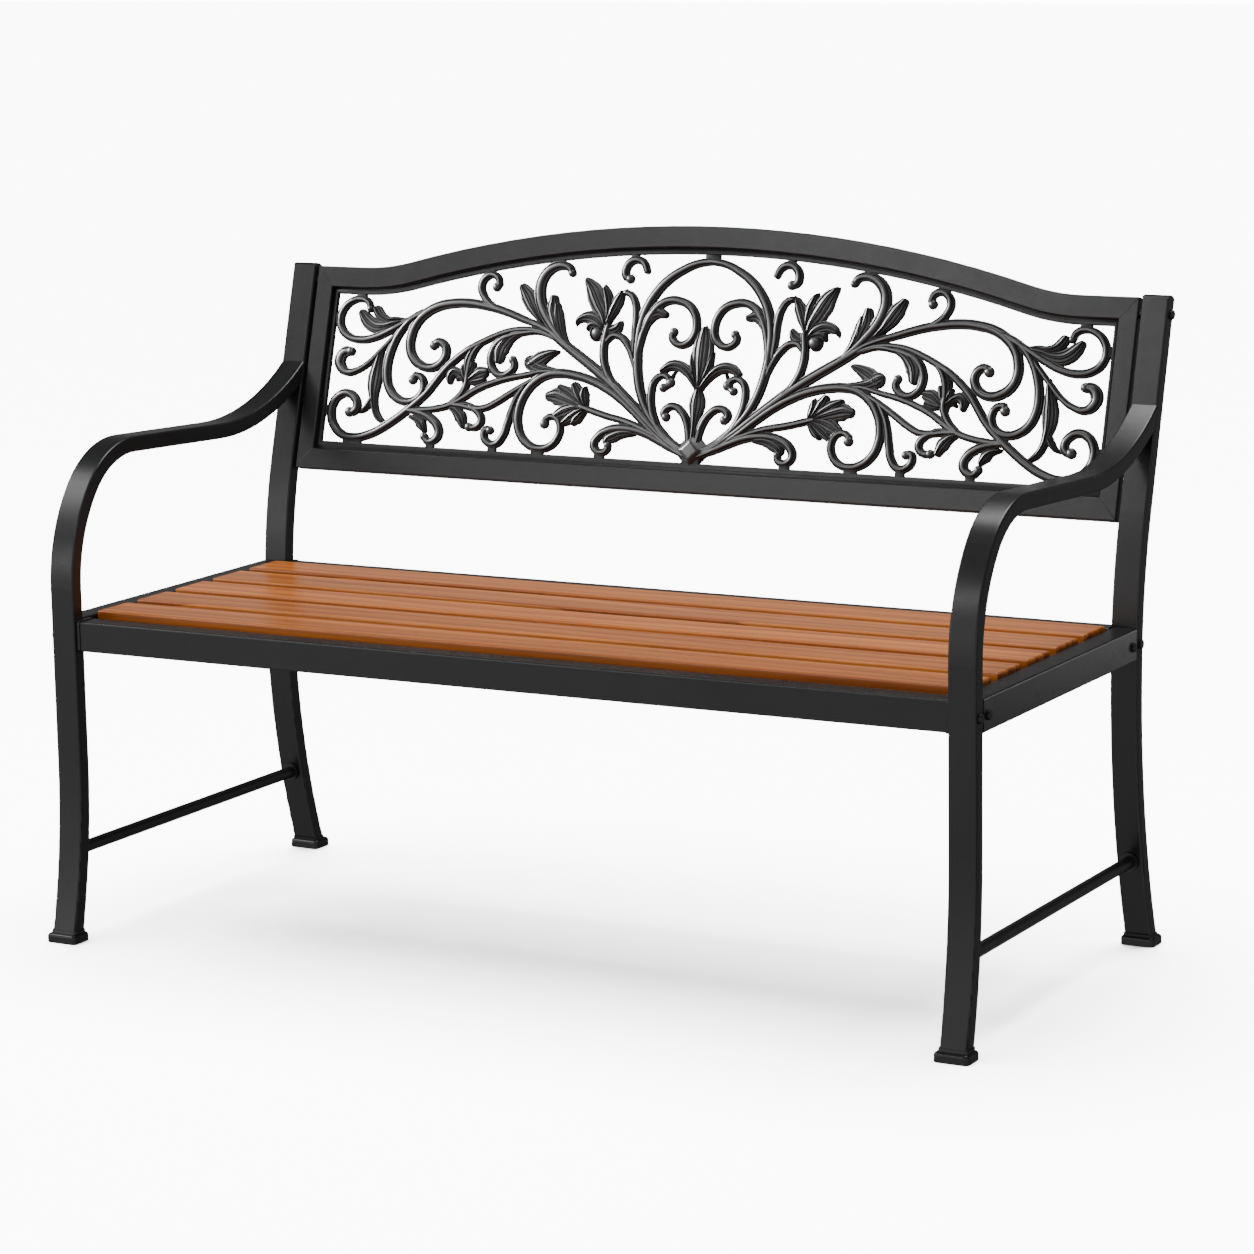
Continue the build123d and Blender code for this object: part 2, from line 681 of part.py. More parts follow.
stems = [
    # tall arch over the middle
    stem([
        (4, 52), (28, 63), (50, 80), (68, 99), (81, 120), (90, 145), (94.5, 170), (96, 195),
        (94.5, 217), (88, 240), (76, 261), (60, 278), (40, 291), (20, 299.5), (0, 302.5),
    ], 7, 13, 11),
    # heart scroll
    stem([
        (92, 178), (90, 200), (86, 218), (78, 234), (67, 245), (54, 250), (42, 249.5),
        (28, 244.5), (18, 234), (13.5, 220), (15, 205.5), (22, 196), (32, 192), (42, 195),
        (47, 202.5), (44.5, 208.5),
    ], 9, 12, 8, 4.6),
    # heart leaf
    stem([(90, 212), (83, 226), (73, 233), (62, 231)], 6, 9, 4),
    # middle curl
    stem([
        (6, 54), (28, 62), (45, 73), (58, 90), (66, 109), (68.5, 127), (66, 142), (58, 150),
        (49.5, 150.5), (44, 144.5), (45.5, 137.5),
    ], 7, 11, 7),
    # mid end
    stem([(45.5, 137.5), (51, 135)], 7, 7, 6, 3.8),
    # frond
    stem([
        (3, 130), (9, 146), (18, 159), (30, 166), (42, 165), (52, 158), (55.5, 153),
    ], 6, 12, 6),
    # frond curl
    stem([(24, 164), (33, 158), (36, 149), (41, 142)], 5, 10, 6),
    # volute
    stem([
        (5, 58), (7.5, 76), (12, 92), (21, 105), (32, 111.5), (42, 109), (46.5, 102), (42.5, 97),
    ], 8, 10, 8, 4.6),
    # curl
    stem([
        (8, 50), (30, 57), (50, 66), (70, 74), (90, 78.5), (110, 79), (127, 75), (140, 66),
        (144.5, 56), (140, 48), (131, 46), (124.5, 50), (123.5, 56),
    ], 9, 11, 8, 4.2),
    # curl leaf
    stem([(88, 76), (104, 74), (117, 67), (124, 58)], 5, 12, 7),
    # sprig
    stem([(40, 66), (70, 78), (100, 88), (130, 94), (150, 99), (168, 104)], 6, 9, 9),
    # branch
    stem([
        (8, 50), (28, 60), (52, 76), (80, 99), (104, 118), (130, 138), (160, 158), (182, 171.5),
        (204, 185), (222, 197),
    ], 6, 13, 11),
    # hook
    stem([
        (196, 180), (216, 198), (231, 214), (243, 230), (249.5, 245), (251.5, 260), (249, 272),
        (242, 282), (232, 288.5), (220, 290.5), (210, 287), (205.5, 280.5),
    ], 7, 15.5, 8.5),
    # hook l1
    stem([(205, 186), (216, 200), (222, 215), (228, 230), (229, 243)], 5, 13, 9),
    # hook l2
    stem([(202, 185), (212, 200), (217, 214), (221, 229)], 4, 9, 6),
    # hook r
    stem([(226, 200), (243, 212), (260, 224), (272, 240), (274, 256)], 6, 16, 11),
    # vine
    stem([
        (210, 190), (226, 200), (244, 208), (270, 216), (300, 225.5), (330, 232), (360, 235),
        (384, 233.5), (404, 229), (421, 220), (434, 207), (441, 190), (441.5, 172), (435, 158),
        (423, 149), (409, 145.5), (396, 149), (387, 158), (384.5, 169), (389.5, 178), (398, 181),
        (404, 176),
    ], 7, 13, 8, 5.2),
    # top curl
    stem([
        (312, 229), (328, 237), (338, 248), (341.5, 260), (336, 270.5), (326.5, 274.5),
        (317.5, 270.5), (314, 262.5),
    ], 7, 10, 8),
    # top curl end
    stem([(314, 262.5), (317.5, 258)], 8, 8, 8, 4.8),
    # tendril
    stem([
        (214, 190), (232, 198), (250, 202.5), (270, 203), (292, 199.5), (312, 192), (331, 183),
        (349, 173), (365, 161), (381, 146), (394, 129), (406, 113), (418, 101), (431, 90),
        (450, 75), (470, 61.5), (490, 51.5), (513, 46), (533, 49), (547, 60), (554, 76),
        (552, 92), (543, 102.5), (531, 105.5), (520, 100), (514.5, 90), (518, 81.5), (525, 80),
    ], 6, 10.5, 8, 5.2),
    # loop
    stem([
        (248, 199), (268, 198.5), (288, 194), (304, 186), (313, 173), (314.5, 158), (308, 146),
        (296, 140.5), (284, 144.5), (277.5, 154), (280.5, 161.5),
    ], 6, 10, 7.5, 4.2),
    # loop leaf
    stem([(262, 198), (281, 192), (294, 180), (300, 168), (298, 157)], 5, 17, 8),
    # long
    stem([
        (10, 48), (32, 58), (60, 77), (90, 101), (112, 117), (135, 130), (160, 140),
        (185, 145.5), (208, 147), (226, 144), (243, 134), (256, 118), (263, 98), (262.5, 78),
        (255, 61), (242, 50), (226, 46), (210, 50), (200, 61), (197.5, 75), (203, 86),
        (213, 89.5), (221, 85),
    ], 7, 12, 8),
    # long end
    stem([(221, 85), (221.5, 79)], 8, 8, 8, 5),
    # hooklet
    stem([
        (258, 128), (268, 112), (274, 94), (278, 76), (283, 59), (294, 48), (306, 50.5),
        (312, 60), (309, 67.5), (303, 66),
    ], 6, 9.5, 7, 4.4),
    # lower
    stem([
        (228, 143), (246, 136), (262, 127), (282, 114.5), (300, 103), (316, 95.5), (332, 94.5),
        (350, 97), (366, 98),
    ], 6, 9, 9),
    # upper
    stem([
        (206, 149), (232, 148.5), (258, 142.5), (284, 137), (308, 129.5), (332, 119),
        (350, 107.5), (366, 98.5), (386, 92), (410, 88.5), (432, 87),
    ], 6, 8.5, 8),
    # knot hook
    stem([(336, 96), (323, 88), (318.5, 78), (325, 69.5), (336, 69)], 8, 9, 8),
    # knot leaf
    stem([(366, 97), (352, 90), (345, 79), (342, 69)], 7, 17, 9),
    # flower stem
    stem([
        (328, 184), (339, 173), (345, 159), (347, 142), (347.5, 126), (354, 112), (368, 99),
    ], 5, 10, 8),
    # flower l
    stem([(346, 131), (333, 141), (320, 139)], 8, 20, 9),
    # flower t
    stem([(345, 136), (339, 147), (338, 156)], 8, 12, 7),
    # flower u
    stem([(349, 136), (354, 147), (352, 156)], 7, 9, 6),
    # flower r
    stem([(350, 132), (362, 141), (371, 138), (371, 130)], 7, 13, 9),
    # inner
    stem([
        (410, 226), (430, 219), (447, 207), (460, 191), (469, 171), (473.5, 150), (472.5, 130),
        (465.5, 113), (453, 102), (438, 98), (424, 101.5), (415, 111), (413.5, 123),
        (419.5, 133), (428, 135),
    ], 6, 11.5, 8),
    # inner end
    stem([(428, 135), (431, 128)], 8, 8, 8, 5),
    # corner
    stem([
        (412, 225), (438, 213.5), (460, 202), (480, 191), (500, 182.5), (522, 179), (541, 183),
        (553, 193.5), (556.5, 207), (552, 221), (541, 231), (526, 234.5), (514.5, 230),
        (510.5, 221.5),
    ], 6, 9.5, 7),
    # corner l1
    stem([(440, 213), (466, 207), (485, 209), (496, 221)], 5, 11, 10),
    # corner l2
    stem([(452, 206), (480, 199), (505, 201), (520, 213)], 5, 19, 11),
    # drop
    stem([
        (464, 186), (476, 160), (483, 138), (487, 118), (487, 102), (482, 88), (473, 79),
        (466, 77),
    ], 5, 14, 7, 3.6),
    # drop tip
    stem([(489, 112), (494, 96), (501, 86), (510, 82.5)], 7, 8, 3.5),
    # side
    stem([
        (456, 199), (472, 181), (488, 163.5), (505, 146.5), (521, 137), (536, 134), (547, 141),
        (550, 152), (543.5, 161.5), (534, 162.5),
    ], 5, 10, 9, 4.6),
    # foot
    stem([
        (432, 87), (412, 84), (396, 77.5), (385, 67.5), (382, 57), (388, 48.5), (397, 46.5),
        (403.5, 52.5),
    ], 7, 11, 8, 4.4),
    # foot leaf
    stem([(426, 86), (412, 77), (406, 65)], 5, 15, 9),
    # comma
    stem([
        (94.5, 287), (100, 297), (110, 301.5), (120.5, 298), (126, 288.5), (124.5, 278.5),
        (117.5, 275.5),
    ], 7.5, 10, 8.5, 4.6),
    # tulip l
    stem([(96, 158), (103, 176), (113, 191), (124, 199.5), (135, 200), (142, 193)], 6, 9, 7),
    # tulip r
    stem([(112, 124), (128, 139), (139, 155), (145, 172), (146, 190), (143, 212)], 6, 9, 9),
    # tulip curl
    stem([
        (101, 180), (102.5, 205), (103, 228), (107, 245), (115, 255.5), (122, 257.5),
    ], 6, 9, 7),
    # tulip up
    stem([(144, 205), (140, 228), (133, 246), (127, 257)], 6, 13, 8),
    # tulip mid
    stem([(143, 205), (146, 228), (152, 248), (157, 266)], 7, 15, 7),
    # tulip big
    stem([(144, 203), (153, 225), (166, 249), (181, 273)], 8, 20, 5),
    # tulip fall
    stem([(145, 203), (158, 218), (174, 221), (188, 214)], 8, 13, 5),
    # tulip bud
    stem([(145, 205), (154, 202), (163, 200)], 8, 17, 12),
    # tulip tuft
    stem([(138, 200), (128, 205), (122, 215), (121, 222)], 6, 11, 5),
    # join leaf
    stem([(200, 175), (222, 173.5), (238, 167), (249, 160)], 5, 12, 14),
    # join back
    stem([(249, 160), (238, 152.5), (224, 150.5), (206, 149.5)], 12, 7, 4),
    # maple 1
    stem([(160, 102), (165, 114), (167, 131)], 6, 12, 4),
    # maple 2
    stem([(164, 102), (175, 115), (181, 131)], 7, 14, 8),
    # maple 3
    stem([(166, 103), (187, 115), (204, 130)], 8, 17, 5),
    # maple 4
    stem([(166, 104), (194, 111), (220, 115)], 9, 19, 9),
    # maple 5
    stem([(164, 103), (188, 102), (206, 94)], 8, 15, 8),
    # maple 6
    stem([(162, 102), (180, 95), (191, 85)], 7, 13, 8),
    # maple 7
    stem([(158, 101), (168, 92), (177, 84)], 7, 10, 7),
]

# Short bridges that tie the curls to the border: x, v, width and turn
nubs = [
    (135, 41, 16, 0), (228, 42, 20, 0), (297, 42, 14, 0), (393, 42, 14, 0), (516, 42, 30, 0),
    (527, 238, 17, 0), (331, 278, 18, -12), (225, 296, 16, -8), (114, 304, 13, -4),
]
leaf = [(0, 218), (5, 212), (9, 203), (14, 195), (18, 184), (18.5, 174), (14, 163), (9, 150), (5, 138)]
bud = [(9, 131), (13.5, 120), (13, 108), (9, 96), (8, 80), (9, 62), (17, 50), (18, 36), (0, 36)]

with BuildSketch() as half:
    add(stems)
    with BuildLine():
        Polyline(*leaf, *bud, leaf[0])
    make_face()
    for x, v, width, turn in nubs:
        with Locations(Location((x * pattern_stretch, v, 0), (0, 0, turn))):
            Rectangle(width, nub_h)
    with Locations((stile_in - pattern_side, 81), (stile_in - pattern_side, 208)):
        Rectangle(nub_h, 15)
    with Locations((0, 50)):
        Circle(rosette_r)
    with Locations((0, 304)):
        Rectangle(17, nub_h)
    split(bisect_by=Plane.YZ)
with BuildPart() as panel:
    with BuildSketch(frame_plane.offset(-border_recess)):
        add(opening(fit, fit, fit))
        add(opening(border_head, border_side, border_foot), mode=Mode.SUBTRACT)
    extrude(amount=-border_t)
    with BuildSketch(frame_plane.offset(-panel_recess)) as grille:
        add(half.sketch)
        mirror(half.sketch, about=Plane.YZ)
        add(opening(border_head / 2, border_side / 2, border_foot / 2), mode=Mode.INTERSECT)
    extrude(amount=-panel_t)
save(panel.part, "scroll_panel")
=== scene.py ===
"""Garden bench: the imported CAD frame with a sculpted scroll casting, wood, paint and a studio."""

import json
from math import asin, cos, radians, sin, sqrt

import bpy
from mathutils import Matrix, Vector


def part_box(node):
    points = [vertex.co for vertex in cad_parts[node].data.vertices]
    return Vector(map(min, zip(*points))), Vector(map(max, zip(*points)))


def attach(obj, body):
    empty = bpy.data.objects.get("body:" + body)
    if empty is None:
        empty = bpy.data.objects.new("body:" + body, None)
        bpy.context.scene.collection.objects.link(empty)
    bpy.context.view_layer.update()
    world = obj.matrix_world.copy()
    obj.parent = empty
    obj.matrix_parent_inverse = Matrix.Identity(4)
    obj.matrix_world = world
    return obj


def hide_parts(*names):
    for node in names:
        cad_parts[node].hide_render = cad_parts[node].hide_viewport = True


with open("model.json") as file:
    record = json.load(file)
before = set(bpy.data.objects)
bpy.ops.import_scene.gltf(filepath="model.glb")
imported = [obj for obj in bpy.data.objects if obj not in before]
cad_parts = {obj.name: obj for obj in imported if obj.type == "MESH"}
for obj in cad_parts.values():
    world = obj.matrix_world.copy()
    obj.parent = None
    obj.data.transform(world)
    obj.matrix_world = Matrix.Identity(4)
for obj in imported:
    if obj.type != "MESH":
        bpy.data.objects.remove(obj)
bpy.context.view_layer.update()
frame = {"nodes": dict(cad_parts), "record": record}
NODES = frame["nodes"]

MM = 0.001
LEAN = radians(15.7)  # how far the back frame leans

# Back frame, in millimetres across and up its leaning face
FRAME_THICK = 20.0
RAIL_W = 28.0
FRAME_H = 277.0  # up to the top of the top rail's flat ends
CROWN_H = 348.0  # up to the top of its arch
CROWN_R = 1683.0
SHOULDER_R = 267.0  # the hollow curve between flat end and arch
SHOULDER_X = sqrt((CROWN_R + SHOULDER_R) ** 2 - (FRAME_H + SHOULDER_R + CROWN_R - CROWN_H) ** 2)
STILE_IN = 571.0
FRAME_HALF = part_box("back_bottom_rail")[1].x / MM

# Ground welds over the frame's mitres
MITRE_WELD_R = 1.1
MITRE_FLAT = 0.5  # ground down to this share of its height
MITRE_SUNK = -0.15
MITRE_EASE = 1.6  # from each corner of the frame to the end of the weld
MITRE_ROUND = 0.6  # rounding of the weld's ends, in radii

# Casting
CAST_BACK = -13.0  # its back face, behind the frame's front face
STEM_DEPTH = 9.0
BORDER_FOOT = 11.0  # width of the border along the bottom, the sides and the top
BORDER_SIDE = 7.5
BORDER_HEAD = 8.5
BORDER_BACK = -12.0
BORDER_DEPTH = 6.0
MERGE = 0.002  # points closer than this become one
CRISP = 38  # an edge of the casting turned by more degrees than this stays sharp
CRISP_WELD = 40


def frame_matrix():
    """From the leaning face (x, up the face, out of the face) in millimetres to the bench in metres."""
    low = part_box("back_bottom_rail")[0]
    up = Vector((0, sin(LEAN), cos(LEAN)))
    out = Vector((0, -cos(LEAN), sin(LEAN)))
    origin = Vector((0, low.y, low.z + FRAME_THICK * MM * sin(LEAN)))
    turn = Matrix((Vector((1, 0, 0)), up, out)).transposed().to_4x4()
    return Matrix.Translation(origin) @ turn @ Matrix.Scale(MM, 4)


ON_FRAME = frame_matrix()


# ---------------------------------------------------------------- hand tools
def drop_selection():
    """Leaves nothing selected."""
    for thing in bpy.context.selected_objects:
        thing.select_set(False)


def pick(*things):
    """Only these objects selected, the first one active."""
    drop_selection()
    for thing in things:
        thing.select_set(True)
    bpy.context.view_layer.objects.active = things[0]
    return things[0]


def join(things, name):
    """Several meshes made one."""
    body = pick(*things)
    if len(things) > 1:
        bpy.ops.object.join()
    body.name = name
    body.data.name = name
    return body


def seat_on_frame(thing):
    """Puts a piece drawn in millimetres on the leaning face and fixes it there."""
    pick(thing)
    thing.matrix_world = ON_FRAME @ thing.matrix_world
    bpy.ops.object.transform_apply(location=True, rotation=True, scale=True)


def soften(thing, angle):
    """Smooth shading that stays crisp over edges sharper than angle."""
    pick(thing)
    bpy.ops.object.shade_smooth_by_angle(angle=radians(angle))


def finished(thing, material):
    """Gives the piece its material and slot and lets it ride on the bench."""
    thing.data.materials.clear()
    thing.data.materials.append(material)
    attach(thing, "root")


# ---------------------------------------------------------------- node helpers
def add_node(tree, kind, place, **settings):
    """One shader node with its settings."""
    made = tree.nodes.new(kind)
    made.location = place
    for name, value in settings.items():
        setattr(made, name, value)
    return made


def new_material(name):
    """An empty material with its shader node and output."""
    material = bpy.data.materials.new(name)
    material.use_nodes = True
    tree = material.node_tree
    tree.nodes.clear()
    output = add_node(tree, "ShaderNodeOutputMaterial", (900, 0))
    shader = add_node(tree, "ShaderNodeBsdfPrincipled", (600, 0))
    tree.links.new(shader.outputs["BSDF"], output.inputs["Surface"])
    return material, tree, shader


def place_pattern(tree, scale):
    """Object coordinates, multiplied by scale along each axis."""
    where = add_node(tree, "ShaderNodeTexCoord", (-1200, 0))
    mapping = add_node(tree, "ShaderNodeMapping", (-1000, 0))
    mapping.inputs["Scale"].default_value = scale
    tree.links.new(where.outputs["Object"], mapping.inputs["Vector"])
    return mapping.outputs["Vector"]


def noise(tree, vector, scale, detail, roughness, place):
    """A noise texture on a vector, its node drawn at place."""
    made = add_node(tree, "ShaderNodeTexNoise", place)
    made.inputs["Scale"].default_value = scale
    made.inputs["Detail"].default_value = detail
    made.inputs["Roughness"].default_value = roughness
    tree.links.new(vector, made.inputs["Vector"])
    return made


def ramp(tree, value, stops, place):
    """A colour ramp with its stops as (position, colour)."""
    made = add_node(tree, "ShaderNodeValToRGB", place)
    strip = made.color_ramp.elements
    while len(strip) < len(stops):
        strip.new(0.5)
    for element, (position, colour) in zip(strip, stops):
        element.position = position
        element.color = (*colour, 1)
    tree.links.new(value, made.inputs["Fac"])
    return made.outputs["Color"]


def spread(tree, value, low, high, place):
    """A value from 0 to 1 spread between low and high."""
    made = add_node(tree, "ShaderNodeMapRange", place)
    made.inputs["To Min"].default_value = low
    made.inputs["To Max"].default_value = high
    tree.links.new(value, made.inputs["Value"])
    return made.outputs["Result"]


def bump(tree, shader, height, strength, distance, under=None):
    """A bump from height on the shader, over an earlier bump if there is one."""
    made = add_node(tree, "ShaderNodeBump", (350, -300))
    made.inputs["Strength"].default_value = strength
    made.inputs["Distance"].default_value = distance
    tree.links.new(height, made.inputs["Height"])
    if under:
        tree.links.new(under.outputs["Normal"], made.inputs["Normal"])
    tree.links.new(made.outputs["Normal"], shader.inputs["Normal"])
    return made


# ---------------------------------------------------------------- finishes
# Each black paint: darkest and lightest colour, lowest and highest roughness,
# scale and height of its orange peel
BLACKS = {
    "tube_coat": ((0.009, 0.009, 0.0095), (0.014, 0.014, 0.0148), 0.24, 0.34, 900, 0.05),
    "frame_coat": ((0.010, 0.010, 0.0105), (0.015, 0.015, 0.0158), 0.27, 0.38, 900, 0.12),
    "cast_coat": ((0.011, 0.011, 0.0115), (0.018, 0.018, 0.0188), 0.28, 0.42, 420, 0.22),
    # the leaves' coat is the casting's black painted lighter: painted light that makes up for the shade
    # on their steep slopes
    "leaf_coat_painted_lighter": ((0.016, 0.016, 0.0165), (0.026, 0.026, 0.0268), 0.34, 0.48, 420, 0.22),
    "rod_coat": ((0.009, 0.009, 0.010), (0.014, 0.014, 0.015), 0.26, 0.36, 900, 0.08),
    "cap_plastic": ((0.007, 0.007, 0.008), (0.011, 0.011, 0.012), 0.20, 0.30, 700, 0.06),
    "bolt_coat": ((0.009, 0.009, 0.010), (0.015, 0.015, 0.016), 0.25, 0.36, 800, 0.1),
}
PEEL_RELIEF = 0.0004  # metres
BROAD_LUMPS = 0.025
BROAD_RELIEF = 0.0008

# Scale, detail and roughness of the noises in black paint
CLOUD_NOISE = (9, 4, 0.55)
WEAR_NOISE = (42, 5, 0.6)
BROAD_NOISE = (60, 3, 0.5)
PEEL_GRIT = (2, 0.5)  # detail and roughness; its scale stands in the table above

# The slats' wood: how its object coordinates are stretched, and its tones
RING_STRETCH = (0.55, 9, 9)
FIBRE_STRETCH = (4, 260, 260)
BOARD_STRETCH = (0.01, 11.6, 0.01)  # one tone along each slat, another on the next
PORE_STRETCH = (18, 900, 900)
RING_TONES = [(0.0, (0.43, 0.112, 0.014)), (0.45, (0.63, 0.185, 0.026)), (1.0, (0.79, 0.265, 0.044))]
FIBRE_TONES = [(0.32, (0.42, 0.36, 0.34)), (0.62, (1, 1, 1))]
BOARD_TONES = [(0.3, (0.82, 0.78, 0.76)), (0.7, (1.12, 1.05, 1.0))]
FIBRE_SHARE = 0.65
# Scale, detail and roughness of its noises
SWAY_NOISE = (1.6, 3, 0.5)
FIBRE_NOISE = (1.0, 6, 0.65)
BOARD_NOISE = (1.0, 0, 0.5)
PORE_NOISE = (1.0, 3, 0.6)
WOOD_ROUGH = (0.36, 0.24)  # in a dark fibre and in a light one
PORE_LUMPS = 0.25
PORE_RELIEF = 0.0003
FIBRE_LUMPS = 0.22
FIBRE_RELIEF = 0.0006


def black_coat(name):
    """Black paint: fine orange peel, faint cloudiness and a roughness that wanders."""
    dark, light, rough_low, rough_high, grain, lumps = BLACKS[name]
    material, tree, shader = new_material(name)
    vector = place_pattern(tree, (1, 1, 1))
    cloud = noise(tree, vector, *CLOUD_NOISE, (-700, 300))
    colour = ramp(tree, cloud.outputs["Fac"], [(0.3, dark), (0.75, light)], (-350, 300))
    tree.links.new(colour, shader.inputs["Base Color"])
    wear = noise(tree, vector, *WEAR_NOISE, (-700, 0))
    rough = spread(tree, wear.outputs["Fac"], rough_low, rough_high, (-350, 0))
    tree.links.new(rough, shader.inputs["Roughness"])
    peel = noise(tree, vector, grain, *PEEL_GRIT, (-700, -300))
    first = bump(tree, shader, peel.outputs["Fac"], lumps, PEEL_RELIEF)
    first.location = (100, -300)
    broad = noise(tree, vector, *BROAD_NOISE, (-700, -600))
    bump(tree, shader, broad.outputs["Fac"], BROAD_LUMPS, BROAD_RELIEF, first)
    shader.inputs["Specular IOR Level"].default_value = 0.5
    return material


def oiled_hardwood():
    """Red brown hardwood with straight grain along the slats, pores and a worn oil sheen."""
    material, tree, shader = new_material("oiled_hardwood")
    vector = place_pattern(tree, RING_STRETCH)
    sway = noise(tree, vector, *SWAY_NOISE, (-800, 500))
    shifted = add_node(tree, "ShaderNodeVectorMath", (-600, 500), operation="MULTIPLY_ADD")
    shifted.inputs[1].default_value = (0.5, 0.5, 0.5)
    tree.links.new(sway.outputs["Color"], shifted.inputs[0])
    tree.links.new(vector, shifted.inputs[2])
    rings = add_node(tree, "ShaderNodeTexWave", (-400, 500), bands_direction="Y", wave_profile="SAW")
    rings.inputs["Scale"].default_value = 1.4
    rings.inputs["Distortion"].default_value = 3.2
    rings.inputs["Detail"].default_value = 4.0
    rings.inputs["Detail Scale"].default_value = 1.6
    tree.links.new(shifted.outputs["Vector"], rings.inputs["Vector"])
    bands = ramp(tree, rings.outputs["Fac"], RING_TONES, (-100, 500))
    fibres = noise(tree, place_pattern(tree, FIBRE_STRETCH), *FIBRE_NOISE, (-700, 150))
    streaks = ramp(tree, fibres.outputs["Fac"], FIBRE_TONES, (-400, 150))
    grain = add_node(tree, "ShaderNodeMix", (150, 350), data_type="RGBA", blend_type="MULTIPLY")
    grain.inputs["Factor"].default_value = FIBRE_SHARE
    tree.links.new(bands, grain.inputs[6])
    tree.links.new(streaks, grain.inputs[7])
    boards = noise(tree, place_pattern(tree, BOARD_STRETCH), *BOARD_NOISE, (-700, -150))
    board_tone = ramp(tree, boards.outputs["Fac"], BOARD_TONES, (-400, -150))
    tone = add_node(tree, "ShaderNodeMix", (350, 250), data_type="RGBA", blend_type="MULTIPLY")
    tone.inputs["Factor"].default_value = 1.0
    tree.links.new(grain.outputs[2], tone.inputs[6])
    tree.links.new(board_tone, tone.inputs[7])
    tree.links.new(tone.outputs[2], shader.inputs["Base Color"])
    rough = spread(tree, fibres.outputs["Fac"], *WOOD_ROUGH, (-100, -50))
    tree.links.new(rough, shader.inputs["Roughness"])
    pores = noise(tree, place_pattern(tree, PORE_STRETCH), *PORE_NOISE, (-700, -450))
    first = bump(tree, shader, pores.outputs["Fac"], PORE_LUMPS, PORE_RELIEF)
    first.location = (100, -300)
    bump(tree, shader, fibres.outputs["Fac"], FIBRE_LUMPS, FIBRE_RELIEF, first)
    return material


TUBE_COAT = black_coat("tube_coat")
FRAME_COAT = black_coat("frame_coat")
CAST_COAT = black_coat("cast_coat")
LEAF_COAT_PAINTED_LIGHTER = black_coat("leaf_coat_painted_lighter")
ROD_COAT = black_coat("rod_coat")
CAP_PLASTIC = black_coat("cap_plastic")
BOLT_COAT = black_coat("bolt_coat")
HARDWOOD = oiled_hardwood()

FINISH_OF_SLOT = {
    "black_tube": TUBE_COAT,
    "black_frame": FRAME_COAT,
    "black_rod": ROD_COAT,
    "cast_iron_black": CAST_COAT,
    "hardwood": HARDWOOD,
    "black_plastic": CAP_PLASTIC,
    "black_fasteners": BOLT_COAT,
}


def paint_cad_nodes():
    """Every CAD node takes the finish of its material slot."""
    for entry in frame["record"]["subparts"]:
        shown = NODES[entry["node"]]
        finish = FINISH_OF_SLOT[entry["material_slot"]]
        if not shown.material_slots:
            shown.data.materials.append(finish)
        for holder in shown.material_slots:
            holder.material = finish


